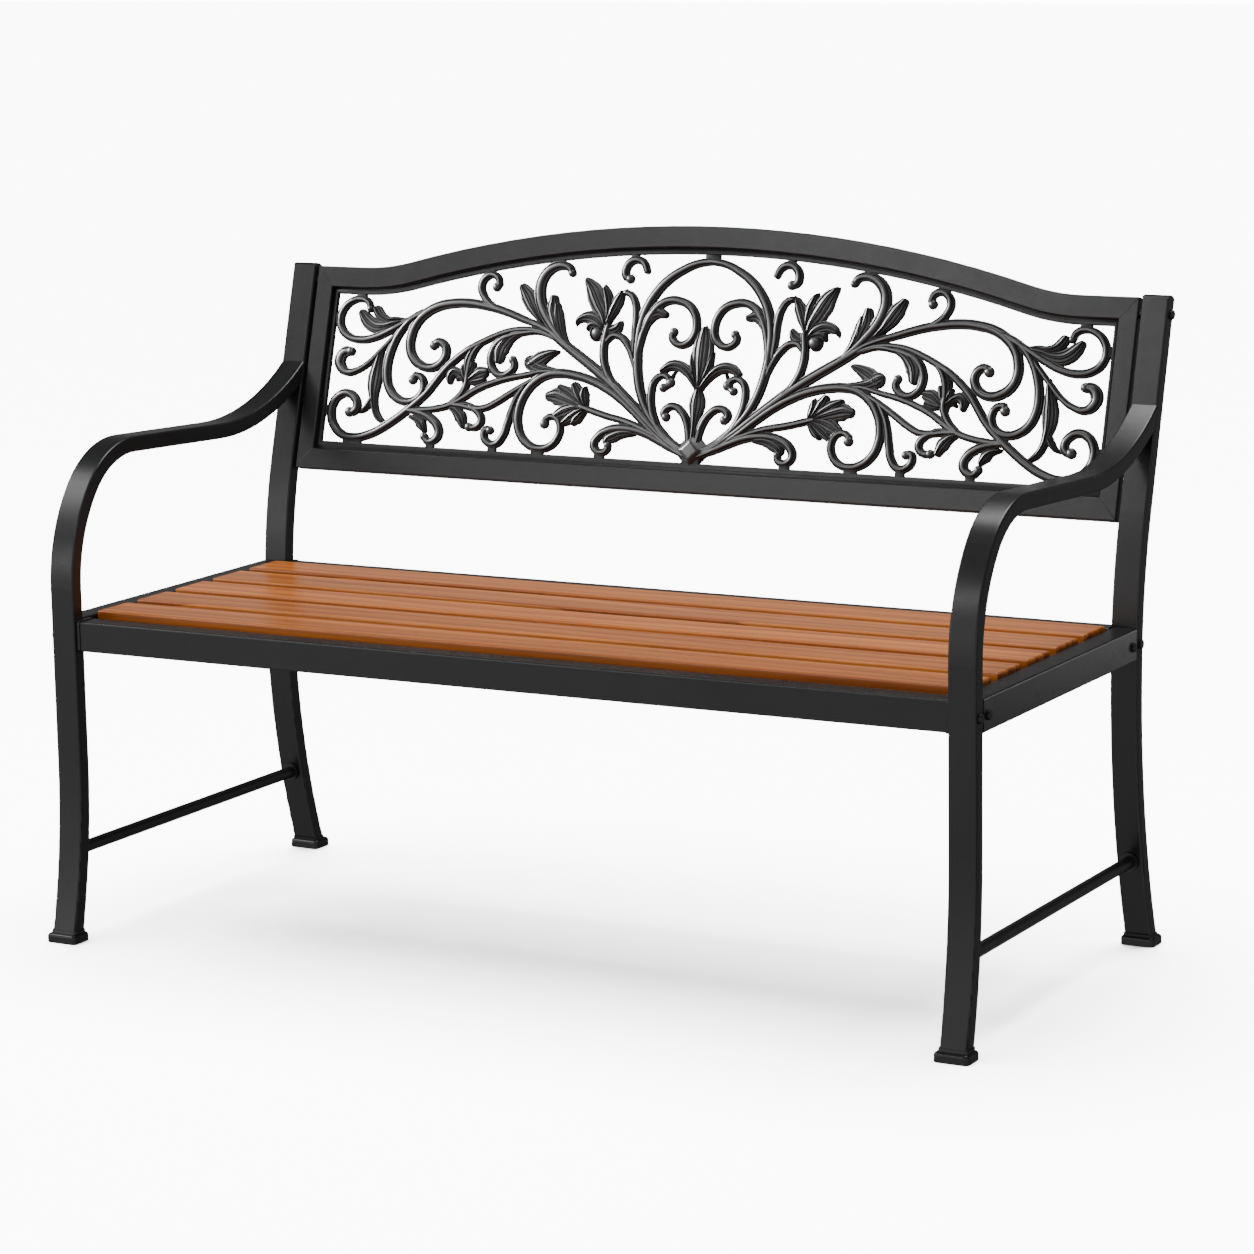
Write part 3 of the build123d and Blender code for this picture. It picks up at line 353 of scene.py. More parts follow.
# ---------------------------------------------------------------- scroll casting
# Each stem or leaf of the right half: centre line as (x, up), widths from start to end, radius of
# the knob at its end or 0. All in millimetres on the leaning face. The left half is the mirror image.
SCROLLS = [
    # tall arch over the middle
    ([
        (4, 52), (28, 63), (50, 80), (68, 99), (81, 120), (90, 145), (94.5, 170), (96, 195),
        (94.5, 217), (88, 240), (76, 261), (60, 278), (40, 291), (20, 299.5), (0, 302.5),
    ], (8, 13.5, 9.5), 0),
    # heart scroll
    ([
        (96, 168), (93.5, 188), (89.5, 208), (78, 234), (67, 245), (54, 250), (42, 249.5),
        (28, 244.5), (18, 234), (13.5, 220), (15, 205.5), (22, 196), (32, 192), (42, 195),
        (47, 202.5), (44.5, 208.5),
    ], (10, 11.5, 9.5), 6.2),
    # middle curl
    ([
        (6, 54), (28, 62), (45, 73), (58, 90), (66, 109), (68.5, 127), (66, 142), (58, 150),
        (49.5, 150.5), (44, 144.5), (45.5, 137.5),
    ], (8, 11, 7.5), 0),
    # its hooked end
    ([
        (45.5, 137.5), (51, 135),
    ], (7, 7, 9.5), 6.2),
    # small inner volute
    ([
        (5, 58), (7.5, 76), (12, 92), (21, 105), (32, 111.5), (42, 109), (46.5, 102), (42.5, 97),
    ], (9, 10.5, 10), 6.6),
    # low curl
    ([
        (8, 50), (30, 57), (50, 66), (70, 74), (90, 78.5), (110, 79), (127, 75), (140, 66),
        (144.5, 56), (140, 48), (131, 46), (124.5, 50), (123.5, 56),
    ], (10, 12.5, 9), 5.6),
    # stalk of the lobed leaf
    ([
        (40, 66), (70, 78), (100, 88), (130, 94), (150, 99), (168, 104),
    ], (6.5, 9.5, 9.5), 0),
    # great rising branch
    ([
        (8, 50), (28, 60), (52, 76), (80, 99), (104, 118), (130, 138), (160, 158), (182, 171.5),
        (204, 185), (222, 197),
    ], (7, 14, 12), 0),
    # hook above the branch
    ([
        (196, 180), (216, 198), (231, 214), (243, 230), (249.5, 245), (251.5, 260), (249, 272),
        (242, 282), (232, 288.5), (220, 290.5), (210, 287), (205.5, 280.5),
    ], (8, 16, 9.5), 5.6),
    # upper vine
    ([
        (210, 190), (226, 200), (244, 208), (270, 216), (300, 225.5), (330, 232), (360, 235),
        (384, 233.5), (404, 229), (421, 220), (434, 207), (441, 190), (441.5, 172), (435, 158),
        (423, 149), (409, 145.5), (396, 149), (387, 158), (384.5, 169), (389.5, 178), (398, 181),
        (404, 176),
    ], (7.5, 13.5, 11), 7.2),
    # curl under the top rail
    ([
        (312, 229), (328, 237), (338, 248), (341.5, 260), (336, 270.5), (326.5, 274.5),
        (317.5, 270.5), (314, 262.5),
    ], (7.5, 10.5, 8.5), 0),
    # its hooked end
    ([
        (314, 262.5), (317.5, 258),
    ], (8, 8, 10), 6.6),
    # great tendril out to the lower corner
    ([
        (214, 190), (232, 198), (250, 202.5), (270, 203), (292, 199.5), (312, 192), (331, 183),
        (349, 173), (365, 161), (381, 146), (394, 129), (406, 113), (418, 101), (431, 90),
        (450, 75), (470, 61.5), (490, 51.5), (513, 46), (533, 49), (547, 60), (554, 76), (552, 92),
        (543, 102.5), (531, 105.5), (520, 100), (514.5, 90), (518, 81.5), (525, 80),
    ], (6.5, 11.5, 11.5), 7.4),
    # loop under the vine
    ([
        (224, 193), (246, 200), (268, 198.5), (288, 194), (304, 186), (313, 173), (314.5, 158),
        (308, 146), (296, 140.5), (284, 144.5), (277.5, 154), (280.5, 161.5),
    ], (5, 10.5, 9.5), 6.2),
    # long low stem
    ([
        (10, 48), (32, 58), (60, 77), (90, 101), (112, 117), (135, 130), (160, 140), (185, 145.5),
        (208, 147), (226, 144), (243, 134), (256, 118), (263, 98), (262.5, 78), (255, 61),
        (242, 50), (226, 46), (210, 50), (200, 61), (197.5, 75), (203, 86), (213, 89.5), (221, 85),
    ], (8, 13, 8.5), 0),
    # its hooked end
    ([
        (221, 85), (221.5, 79),
    ], (8, 8, 11), 7),
    # small hook below the tendril
    ([
        (258, 128), (268, 112), (274, 94), (278, 76), (283, 59), (294, 48), (306, 50.5), (312, 60),
        (309, 67.5), (303, 66),
    ], (7, 10.5, 9.5), 6.2),
    # lower crossing stem
    ([
        (228, 143), (246, 136), (262, 127), (282, 114.5), (300, 103), (316, 95.5), (332, 94.5),
        (350, 97), (366, 98),
    ], (6.5, 9.5, 9), 0),
    # upper crossing stem, out to the foot curl
    ([
        (206, 149), (232, 148.5), (258, 142.5), (284, 137), (308, 129.5), (332, 119), (350, 107.5),
        (366, 98.5), (386, 92), (410, 88.5), (432, 87),
    ], (6.5, 9.5, 9), 0),
    # hook at the crossing
    ([
        (336, 96), (323, 88), (318.5, 78), (325, 69.5), (336, 69),
    ], (9, 10.5, 9.5), 6.2),
    # stem of the flower
    ([
        (328, 184), (339, 173), (345, 159), (347, 142), (347.5, 126), (354, 112), (368, 99),
    ], (6, 10, 8.5), 0),
    # inner spiral
    ([
        (410, 226), (430, 219), (447, 207), (460, 191), (469, 171), (473.5, 150), (472.5, 130),
        (465.5, 113), (453, 102), (438, 98), (424, 101.5), (415, 111), (413.5, 123), (419.5, 133),
        (428, 135),
    ], (7, 12.5, 9), 0),
    # its hooked end
    ([
        (428, 135), (431, 128),
    ], (8, 8, 11), 7),
    # curl in the upper corner
    ([
        (412, 225), (438, 213.5), (460, 202), (480, 191), (500, 182.5), (522, 179), (541, 183),
        (553, 193.5), (556.5, 207), (552, 221), (541, 231), (526, 234.5), (514.5, 230),
        (510.5, 221.5),
    ], (7, 11, 8.5), 5.2),
    # curl at the side
    ([
        (456, 199), (472, 181), (488, 163.5), (505, 146.5), (521, 137), (536, 134), (547, 141),
        (550, 152), (543.5, 161.5), (534, 162.5),
    ], (6, 7, 7.5, 8, 9, 11, 14.5, 16.5, 15, 12.5), 6.5),
    # foot curl
    ([
        (432, 87), (412, 84), (396, 77.5), (385, 67.5), (382, 57), (388, 48.5), (397, 46.5),
        (403.5, 52.5),
    ], (8, 12.5, 9.5), 6.2),
    # loose comma under the top rail
    ([
        (94.5, 287), (100, 297), (110, 301.5), (120.5, 298), (126, 288.5), (124.5, 278.5),
        (117.5, 275.5),
    ], (8.5, 11, 10), 6.6),
    # left stem of the tall leaf
    ([
        (96, 158), (103, 176), (113, 191), (124, 199.5), (135, 200), (142, 193),
    ], (7, 10.5, 8), 0),
    # right stem of the tall leaf
    ([
        (112, 124), (128, 139), (139, 155), (145, 172), (146, 190), (143, 212),
    ], (7, 11, 10), 0),
    # curl beside the tall leaf
    ([
        (101, 180), (102.5, 205), (103, 228), (107, 245), (115, 255.5), (122, 257.5),
    ], (7, 10.5, 8), 0),
]

LEAVES = [
    # tall leaf
    ([
        (147, 212.5), (151.5, 227), (159.5, 240), (166.5, 252), (173.5, 263), (185, 275.5),
    ], (5, 17.5, 26, 27, 20, 1.5), 0),
    # its left lobe
    ([
        (145.5, 215.5), (145, 232), (147.5, 247.5), (151.5, 258), (156, 267.5),
    ], (3, 10.5, 15, 12, 1.5), 0),
    # folded blade on the curl beside it
    ([
        (128, 256), (132.5, 246.5), (138, 233.5), (142.5, 221.5), (146.5, 211.5),
    ], (9.5, 17, 16.5, 10.5, 5.5), 0),
    # tuft at its foot
    ([
        (141, 206), (134, 207.5), (128.5, 211), (124, 220.5),
    ], (9.5, 16.5, 15, 2), 0),
    # blade falling to its right
    ([
        (150, 210), (157.5, 217.5), (168.5, 222.5), (180.5, 222), (189, 217), (191.5, 211),
    ], (7, 17.5, 19.5, 14, 8, 2), 0),
    # blade under that one
    ([
        (150.5, 209), (160.5, 212), (169, 212), (173, 207.5),
    ], (5.5, 14, 13, 6.5), 0),
    # bud below the tall leaf
    ([
        (151.5, 202.5), (158.5, 202.5),
    ], (7.5, 9.5), 8),
    # rim round the bud
    ([
        (150, 201), (150, 208.5), (157, 212), (165.5, 207), (166, 199), (160, 194), (153, 197.5),
    ], (5.5, 6.5, 7, 7, 6.5, 5.5, 4), 0),
    # turned tip of the folded blade
    ([
        (130, 254), (125, 258), (122.5, 262),
    ], (8, 6.5, 3), 0),
    # lobed leaf, its lobes clockwise from the top
    ([
        (161.5, 104), (165, 111.5), (168, 121), (166.5, 131.5),
    ], (4.5, 12.5, 16, 3), 0),
    ([
        (164, 104), (172, 114.5), (178, 124.5), (182, 131),
    ], (5, 12.5, 17.5, 12.5), 0),
    ([
        (165, 103.5), (179.5, 114), (193, 122), (204.5, 128.5),
    ], (5, 15, 17.5, 9.5), 0),
    ([
        (163, 102.5), (180, 108), (196, 113), (210.5, 116.5), (218, 116),
    ], (5.5, 16, 21.5, 23.5, 15), 0),
    ([
        (164, 102.5), (180, 101.5), (194, 96.5), (202.5, 92),
    ], (5, 16, 22, 16), 0),
    ([
        (163, 102), (174, 96.5), (184, 89), (191.5, 83),
    ], (5, 14, 17.5, 11.5), 0),
    ([
        (161.5, 101), (168.5, 94.5), (175, 87.5), (178.5, 82.5),
    ], (4.5, 13, 16, 9), 0),
    # upper blade of the corner leaf
    ([
        (452.5, 208.5), (466.5, 209), (479.5, 207.5), (489.5, 210.5), (496.5, 216), (499.5, 220),
    ], (4.5, 7.5, 10, 12.5, 15, 14), 0),
    # lower blade of the corner leaf
    ([
        (452, 206.5), (469.5, 203.5), (484.5, 198.5), (498.5, 197.5), (510.5, 203), (518.5, 210.5),
        (522.5, 215),
    ], (4.5, 9.5, 15, 19.5, 20, 17, 12), 0),
    # flower: calyx on the stalk
    ([
        (339.5, 177), (345.5, 168), (349, 158), (349.5, 148.5), (349, 139),
    ], (5.5, 10.5, 13, 10, 7), 0),
    # left petal
    ([
        (345, 130.5), (336, 137), (328.5, 141.5), (324, 142.5),
    ], (7, 14.5, 20, 17), 0),
    # lower left petal
    ([
        (344, 128.5), (333, 129.5), (323.5, 132),
    ], (5.5, 11.5, 10.5), 0),
    # two upper petals
    ([
        (347, 134), (343, 144), (341, 152.5),
    ], (5.5, 13, 10), 0),
    ([
        (348.5, 134), (353, 142), (355.5, 150.5),
    ], (5.5, 12.5, 7), 0),
    # right petal
    ([
        (347.5, 130.5), (354, 135), (361.5, 140.5), (369, 141.5), (373.5, 136), (373.5, 128.5),
    ], (7.5, 9, 11.5, 16, 14.5, 9), 0),
    # inner right petal
    ([
        (350, 125.5), (351.5, 131), (357, 134), (363, 131.5),
    ], (7.5, 8, 7.5, 5.5), 0),
    # leaf right of the hook above the branch
    ([
        (239.5, 211), (251, 223), (260.5, 236), (269, 248.5), (276.5, 258.5),
    ], (4.5, 12, 21, 22, 13), 0),
    # leaf in the loop
    ([
        (266.5, 199.5), (283, 195), (296, 184.5), (302, 173.5), (302.5, 163.5),
    ], (5, 14.5, 22, 25, 17), 0),
    # leaf where the crossing stems part
    ([
        (213.5, 175.5), (225.5, 171.5), (238.5, 165), (248, 159),
    ], (4.5, 14, 21.5, 19.5), 0),
    # two leaves at the crossing
    ([
        (370.5, 94), (360, 90), (351.5, 82), (346, 71.5),
    ], (5, 13, 18.5, 11.5), 0),
    ([
        (371.5, 96), (355, 98), (339.5, 97), (329.5, 91.5),
    ], (4.5, 9, 10.5, 7.5), 0),
    # leaf on the foot curl
    ([
        (430.5, 78.5), (418.5, 75.5), (411, 69.5), (405, 61),
    ], (5, 10.5, 16, 7.5), 0),
    # hanging leaf
    ([
        (485, 169.5), (487.5, 156.5), (489.5, 144), (491, 130), (491.5, 116.5), (490, 102.5),
        (486, 86.5), (479, 75), (470, 68.5),
    ], (6, 11, 17, 22.5, 20.5, 13.5, 10.5, 10, 6.5), 0),
    # its side tip
    ([
        (493.5, 96.5), (497.5, 90), (503.5, 83.5), (512.5, 79.5),
    ], (10, 9.5, 7, 2), 0),
    # leaf on the low curl
    ([
        (86.5, 72.5), (102.5, 72.5), (116.5, 68), (125.5, 61.5), (123.5, 55),
    ], (5.5, 13, 16.5, 14, 5), 0),
    # frond beside the middle bud
    ([
        (1.5, 133.5), (9.5, 146.5), (19.5, 158), (32, 164.5), (45.5, 164), (55, 157.5),
    ], (5, 10.5, 14, 15.5, 14, 10), 0),
    # curled end of the frond
    ([
        (35.5, 159), (40, 151), (41.5, 142),
    ], (4, 5, 7), 7),
    # leaf on the heart scroll
    ([
        (91, 208), (84, 225), (74, 233), (61, 231),
    ], (10.5, 17, 18.5, 10), 0),
    # two leaves left of the hook above the branch
    ([
        (198, 181), (217, 203), (223, 217), (228, 231), (229, 245),
    ], (5, 15, 21.5, 23.5, 13), 0),
    ([
        (198, 181), (211, 199), (217, 212), (221, 226), (222, 236),
    ], (5, 12.5, 17, 17, 9.5), 0),
    # rolled back of the leaf where the crossing stems part
    ([
        (252, 159), (240, 153), (224, 150.5), (206, 148), (186, 142.5),
    ], (21.5, 17, 10.5, 9, 4.5), 0),
]

# The upright leaf and bud in the middle, written the same way
MIDDLE = [
    # tall leaf
    ([
        (0, 137), (0, 147), (0, 157), (0, 167), (0, 177), (0, 187), (0, 197), (0, 207), (0, 214),
        (0, 219),
    ], (5, 10, 17, 24, 28.5, 30, 27.5, 20, 11, 2), 0),
    # its four side lobes
    ([(3, 141), (8, 154), (12.5, 168), (16, 185)], (4, 9, 9.5, 2), 0),
    ([(-3, 141), (-8, 154), (-12.5, 168), (-16, 185)], (4, 9, 9.5, 2), 0),
    ([(2, 139), (6.5, 149), (12, 158), (14.5, 166)], (4, 7, 8, 3), 0),
    ([(-2, 139), (-6.5, 149), (-12, 158), (-14.5, 166)], (4, 7, 8, 3), 0),
    # bud on its stalk
    ([
        (0, 52), (0, 57), (0, 64), (0, 76), (0, 88), (0, 98), (0, 106), (0, 114), (0, 122),
        (0, 130), (0, 137),
    ], (20, 13, 10, 10, 11, 14.5, 19, 23, 22, 15, 6), 0),
    # collar between bud and leaf
    ([(-4, 137), (4, 137)], (8, 8), 0),
]

# Half outlines of the sections from the edge inwards: across a stem ten wide, and height as a share
SECTION_W = 10
STEM_SECTION = [
    (5.0, 0.0), (5.0, 0.62), (4.7, 0.74), (3.7, 0.80), (3.0, 0.64), (2.2, 0.90), (1.3, 0.99),
    (0.0, 1.0),
]
LEAF_SECTION = [
    (5.0, 0.0), (5.0, 0.52), (4.6, 0.66), (3.7, 0.76), (3.0, 0.62), (2.4, 0.82), (1.4, 0.88),
    (0.8, 0.72), (0.0, 0.97),
]
ROUND_END = ((0.2, 0.92), (0.36, 0.69), (0.46, 0.39), (0.5, 0.08))  # reach and width, in widths
STEPS = 5  # rings from one point of a line to the next
MIDDLE_STEPS = 6

# How a narrow stretch keeps its depth: below THIN, a share of the full depth, nothing changes
THIN = 0.35
SPAN = 0.45  # this far above THIN the full depth is reached
SWELL = 0.6
FLAT = 1e-6  # a ring lower than this has no depth to change

KNOB_MIDDLE = STEM_DEPTH * 0.46
KNOB_HALF = STEM_DEPTH * 0.62


def width_at(widths, t):
    """Width at t of a stem's length: a curve through three widths, straight lines between more."""
    if len(widths) == 3:
        start, middle, end = widths
        return start * (1 - t) * (1 - 2 * t) + middle * 4 * t * (1 - t) + end * t * (2 * t - 1)
    step = t * (len(widths) - 1)
    i = min(int(step), len(widths) - 2)
    return widths[i] + (widths[i + 1] - widths[i]) * (step - i)


def section_curve(half):
    """A closed section for all stems of one table, and how many points it has."""
    outline = half + [(-x, z) for x, z in reversed(half[:-1])]
    bpy.ops.curve.primitive_bezier_curve_add()
    made = bpy.context.object
    made.data.splines.clear()
    line = made.data.splines.new("POLY")
    line.points.add(len(outline) - 1)
    for point, (x, z) in zip(line.points, outline):
        point.co = (x, z * STEM_DEPTH, 0, 1)
    line.use_cyclic_u = True
    made.data.dimensions = "2D"
    made.data.fill_mode = "NONE"
    return made, len(outline)


def sweep_stem(points, widths, section, steps):
    """One stem: a Bezier line through points with a section swept along it, as a mesh."""
    spots = [Vector((x, v, 0)) for x, v in points]
    if len(widths) == len(points):
        sizes = list(widths)
    else:
        runs = [0.0]
        for a, b in zip(spots, spots[1:]):
            runs.append(runs[-1] + (b - a).length)
        sizes = [width_at(widths, run / runs[-1]) for run in runs]
    first = (spots[0] - spots[1]).normalized()
    last = (spots[-1] - spots[-2]).normalized()
    root, tip = spots[0], spots[-1]
    start, end = sizes[0], sizes[-1]
    for reach, share in ROUND_END:
        spots = [root + first * start * reach] + spots + [tip + last * end * reach]
        sizes = [start * share] + sizes + [end * share]
    bpy.ops.curve.primitive_bezier_curve_add()
    stem = bpy.context.object
    line = stem.data.splines[0]
    line.bezier_points.add(len(spots) - 2)
    for point, spot, size in zip(line.bezier_points, spots, sizes):
        point.co = spot
        point.handle_left_type = "AUTO"
        point.handle_right_type = "AUTO"
        point.radius = size / SECTION_W
    stem.data.dimensions = "3D"
    stem.data.twist_mode = "Z_UP"
    stem.data.resolution_u = steps
    stem.data.bevel_mode = "OBJECT"
    stem.data.bevel_object = section
    stem.data.use_fill_caps = True
    pick(stem)
    bpy.ops.object.convert(target="MESH")
    return bpy.context.object


def even_depth(stem, count):
    """Makes a narrow stretch nearly as deep as a wide one. Each ring of the stem has count points."""
    verts = stem.data.vertices
    for first in range(0, len(verts) - count + 1, count):
        ring = [verts[i] for i in range(first, first + count)]
        high = max(abs(v.co.z) for v in ring)
        if high < FLAT:
            continue
        share = high / STEM_DEPTH
        if share >= THIN:
            share = THIN + (1 - THIN) * min(1.0, (share - THIN) / SPAN) ** SWELL
        for v in ring:
            v.co.z *= STEM_DEPTH * share / high
    return stem


def knob(x, v, radius):
    """The round knob at the end of a volute."""
    bpy.ops.mesh.primitive_uv_sphere_add(
        segments=18, ring_count=10, radius=1, location=(x, v, KNOB_MIDDLE),
    )
    made = bpy.context.object
    made.scale = (radius, radius, KNOB_HALF)
    bpy.ops.object.transform_apply(location=True, rotation=True, scale=True)
    return made


def mirrored(thing):
    """The same piece on the left half, with its faces turned the right way."""
    pick(thing)
    bpy.ops.object.duplicate()
    other = bpy.context.object
    bpy.ops.object.mode_set(mode="EDIT")
    bpy.ops.mesh.select_all(action="SELECT")
    bpy.ops.transform.mirror(constraint_axis=(True, False, False), center_override=(0, 0, 0))
    bpy.ops.mesh.flip_normals()
    bpy.ops.object.mode_set(mode="OBJECT")
    return other


def make_stems(table, half, steps, name):
    """All stems of a table with their knobs, as one mesh."""
    section, count = section_curve(half)
    made = []
    for points, widths, ball in table:
        stem = sweep_stem(points, widths, section, steps)
        made.append(even_depth(stem, count))
        if ball:
            x, v = points[-1]
            made.append(knob(x, v, ball))
    bpy.data.objects.remove(section)
    return join(made, name)


def outwards(thing):
    """Merges points that lie on each other and turns every shell's faces outwards."""
    pick(thing)
    bpy.ops.object.mode_set(mode="EDIT")
    bpy.ops.mesh.select_all(action="SELECT")
    bpy.ops.mesh.remove_doubles(threshold=MERGE)
    bpy.ops.mesh.normals_make_consistent(inside=False)
    bpy.ops.object.mode_set(mode="OBJECT")
    return thing


ARCH_STEPS = 8  # steps round each hollow shoulder; the arch has four times as many
BORDER_EASE = 0.5
BORDER_CORNER = 50  # a corner turned by more degrees than this is eased
# Each band of the border: its outer and inner edge as shares of the width, its foot and its top
LOW_BAND = (0.0, 1.0, 0.0, BORDER_DEPTH * 0.6)
HIGH_BAND = (0.36, 0.9, BORDER_DEPTH * 0.3, BORDER_DEPTH)


def arch_points(inset, edge_x, steps):
    """The top rail's upper edge moved down by inset, as points from right to left."""
    tilt = asin(SHOULDER_X / (CROWN_R + SHOULDER_R))
    crown = CROWN_R - inset
    shoulder = SHOULDER_R + inset
    right = [(edge_x, FRAME_H - inset)]
    for i in range(steps + 1):
        turn = tilt * i / steps
        right.append((SHOULDER_X - shoulder * sin(turn), FRAME_H + SHOULDER_R - shoulder * cos(turn)))
    top = []
    for i in range(1, 4 * steps):
        turn = tilt * (1 - i / (2 * steps))
        top.append((crown * sin(turn), CROWN_H - CROWN_R + crown * cos(turn)))
    left = [(-x, v) for x, v in reversed(right)]
    return right + top + left


def border_band(outer, inner, low, high):
    """A flat band of the border between two shares of its width, from one height to another.

    Share 0 is the edge of the frame's opening, share 1 the border's inner edge.
    """
    bpy.ops.curve.primitive_bezier_curve_add()
    band = bpy.context.object
    band.data.splines.clear()
    for share in (outer, inner):
        edge = STILE_IN - share * BORDER_SIDE
        foot = RAIL_W + share * BORDER_FOOT
        loop = arch_points(RAIL_W + share * BORDER_HEAD, edge, ARCH_STEPS)
        loop += [(-edge, foot), (edge, foot)]
        line = band.data.splines.new("POLY")
        line.points.add(len(loop) - 1)
        for point, (x, v) in zip(line.points, loop):
            point.co = (x, v, 0, 1)
        line.use_cyclic_u = True
    band.data.dimensions = "2D"
    band.data.fill_mode = "BOTH"
    band.data.extrude = (high - low) / 2
    pick(band)
    bpy.ops.object.convert(target="MESH")
    band = bpy.context.object
    band.location.z = BORDER_BACK - CAST_BACK + (low + high) / 2
    bpy.ops.object.transform_apply(location=True, rotation=False, scale=False)
    outwards(band)
    eased = band.modifiers.new("eased", "BEVEL")
    eased.width = BORDER_EASE
    eased.segments = 2
    eased.limit_method = "ANGLE"
    eased.angle_limit = radians(BORDER_CORNER)
    bpy.ops.object.modifier_apply(modifier="eased")
    return band


def border_ring():
    """The casting's moulded border inside the frame's opening: a low band with a raised one on it."""
    return [border_band(*LOW_BAND), border_band(*HIGH_BAND)]


BRIDGE_MIDDLE = STEM_DEPTH * 0.36
BRIDGE_RUN = 12
BRIDGE_DEPTH = STEM_DEPTH * 0.7
BRIDGE_ROUND = 1.6
# Bridges between curls and border: x, up, width, turn in degrees
BRIDGES = [
    (135, 41, 15, 0), (228, 42, 19, 0), (297, 42, 13, 0), (393, 42, 13, 0), (516, 42, 29, 0),
    (527, 238, 16, 0), (331, 278, 17, -12), (225, 296, 15, -8), (114, 304, 12, -4), (0, 306, 22, 0),
    (558, 81, 14, 90), (558, 208, 14, 90), (0, 41, 26, 0),
]


def bridge(x, v, width, turn):
    """A short rounded bridge of metal between a curl and the border."""
    bpy.ops.mesh.primitive_cube_add(
        size=1, location=(x, v, BRIDGE_MIDDLE), rotation=(0, 0, radians(turn)),
    )
    made = bpy.context.object
    made.scale = (width, BRIDGE_RUN, BRIDGE_DEPTH)
    bpy.ops.object.transform_apply(location=True, rotation=True, scale=True)
    shaped = made.modifiers.new("round", "BEVEL")
    shaped.width = BRIDGE_ROUND
    shaped.segments = 2
    bpy.ops.object.modifier_apply(modifier="round")
    return made


ROSETTE_UP = 55
ROSETTE_FOOT_R = 30
ROSETTE_HEAD_R = 12
ROSETTE_DEPTH = 12.6
ROSETTE_ROUND = 2.2


def rosette():
    """The four-sided boss where all stems meet."""
    bpy.ops.mesh.primitive_cone_add(
        vertices=4, radius1=ROSETTE_FOOT_R, radius2=ROSETTE_HEAD_R, depth=ROSETTE_DEPTH,
        location=(0, ROSETTE_UP, ROSETTE_DEPTH / 2),
    )
    boss = bpy.context.object
    shaped = boss.modifiers.new("round", "BEVEL")
    shaped.width = ROSETTE_ROUND
    shaped.segments = 4
    bpy.ops.object.modifier_apply(modifier="round")
    bpy.ops.object.transform_apply(location=True, rotation=True, scale=True)
    return outwards(boss)


def mitre_bead(side, foot, head):
    """A ground weld over one mitre of the back frame, from its outer corner to its inner one."""
    outer = Vector((side * FRAME_HALF, foot, 0))
    inner = Vector((side * STILE_IN, head, 0))
    along = inner - outer
    bpy.ops.mesh.primitive_cylinder_add(
        vertices=16, radius=MITRE_WELD_R, depth=along.length - 2 * MITRE_EASE,
        location=(outer + inner) / 2, rotation=along.to_track_quat("Z", "Y").to_euler(),
    )
    bead = bpy.context.object
    bpy.ops.object.transform_apply(location=True, rotation=True, scale=True)
    rounded = bead.modifiers.new("rounded", "BEVEL")
    rounded.width = MITRE_WELD_R * MITRE_ROUND
    rounded.segments = 2
    rounded.limit_method = "ANGLE"
    bpy.ops.object.modifier_apply(modifier="rounded")
    for v in bead.data.vertices:
        v.co.z = v.co.z * MITRE_FLAT + MITRE_SUNK
    return bead


def mitre_welds():
    """The ground welds over the four corners of the back frame."""
    beads = []
    for side in (-1, 1):
        beads.append(mitre_bead(side, 0, RAIL_W))
        beads.append(mitre_bead(side, FRAME_H, FRAME_H - RAIL_W))
    body = outwards(join(beads, "mitre_welds"))
    seat_on_frame(body)
    soften(body, CRISP_WELD)
    finished(body, FRAME_COAT)


def scroll_casting():
    """The pierced panel: stems, leaves, knobs, bridges, rosette and border.

    Returns the pieces that the casting's own lamps light.
    """
    stems = outwards(make_stems(SCROLLS, STEM_SECTION, STEPS, "casting_stems"))
    leaves = outwards(make_stems(LEAVES, LEAF_SECTION, STEPS, "casting_leaves"))
    halves = [stems, mirrored(stems)]
    leaf_halves = [leaves, mirrored(leaves)]
    middle = outwards(make_stems(MIDDLE, LEAF_SECTION, MIDDLE_STEPS, "casting_middle"))
    bridges = []
    for x, v, width, turn in BRIDGES:
        bridges.append(bridge(x, v, width, turn))
        if x:
            bridges.append(bridge(-x, v, width, -turn))
    stem_body = join(halves + [rosette()], "scroll_stems")
    leaf_body = join(leaf_halves + [middle], "scroll_leaves")
    border_body = join(border_ring() + bridges, "scroll_border")
    # the leaves take a copy of the casting's black painted lighter, painted light that stands in for
    # light their steep slopes miss
    for body, coat in ((stem_body, CAST_COAT), (leaf_body, LEAF_COAT_PAINTED_LIGHTER), (border_body, CAST_COAT)):
        for v in body.data.vertices:
            v.co.z += CAST_BACK
        seat_on_frame(body)
        soften(body, CRISP)
        finished(body, coat)
        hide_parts("scroll_panel")
    return [stem_body, leaf_body]


# ---------------------------------------------------------------- studio
# Each soft light: its place and its aim in metres, its width, its power in watts
LAMPS = {
    "key": ((-3.4, -1.4, 3.0), (0, 0, 0.5), 2.0, 72),
    "front": ((-2.6, -4.2, 1.15), (0, 0, 0.5), 1.0, 16),
    "top": ((0.3, 0.6, 3.2), (0, 0, 0.45), 1.6, 78),
    "back_sheen": ((-1.7, -3.8, 2.75), (0.3, 0.2, 0.7), 0.9, 18),
    "side_sheen": ((2.7, 4.4, 0.15), (0.6, 0, 0.4), 1.0, 12),
    "slat_sheen": ((-1.9, 3.6, 1.1), (0, 0, 0.43), 2.4, 3.2),
    "casting_key": ((-3.6, -0.75, 2.3), (0, 0.25, 0.7), 1.0, 850),
    "casting_fill": ((-2.2, -4.2, 2.0), (0, 0.25, 0.7), 1.8, 40),
}
FLOOR_SIZE = 60
FLOOR_GREYS = [(0.0, (0.93, 0.93, 0.93)), (1.0, (0.95, 0.95, 0.95))]
FLOOR_NOISE = (0.6, 2, 0.5)
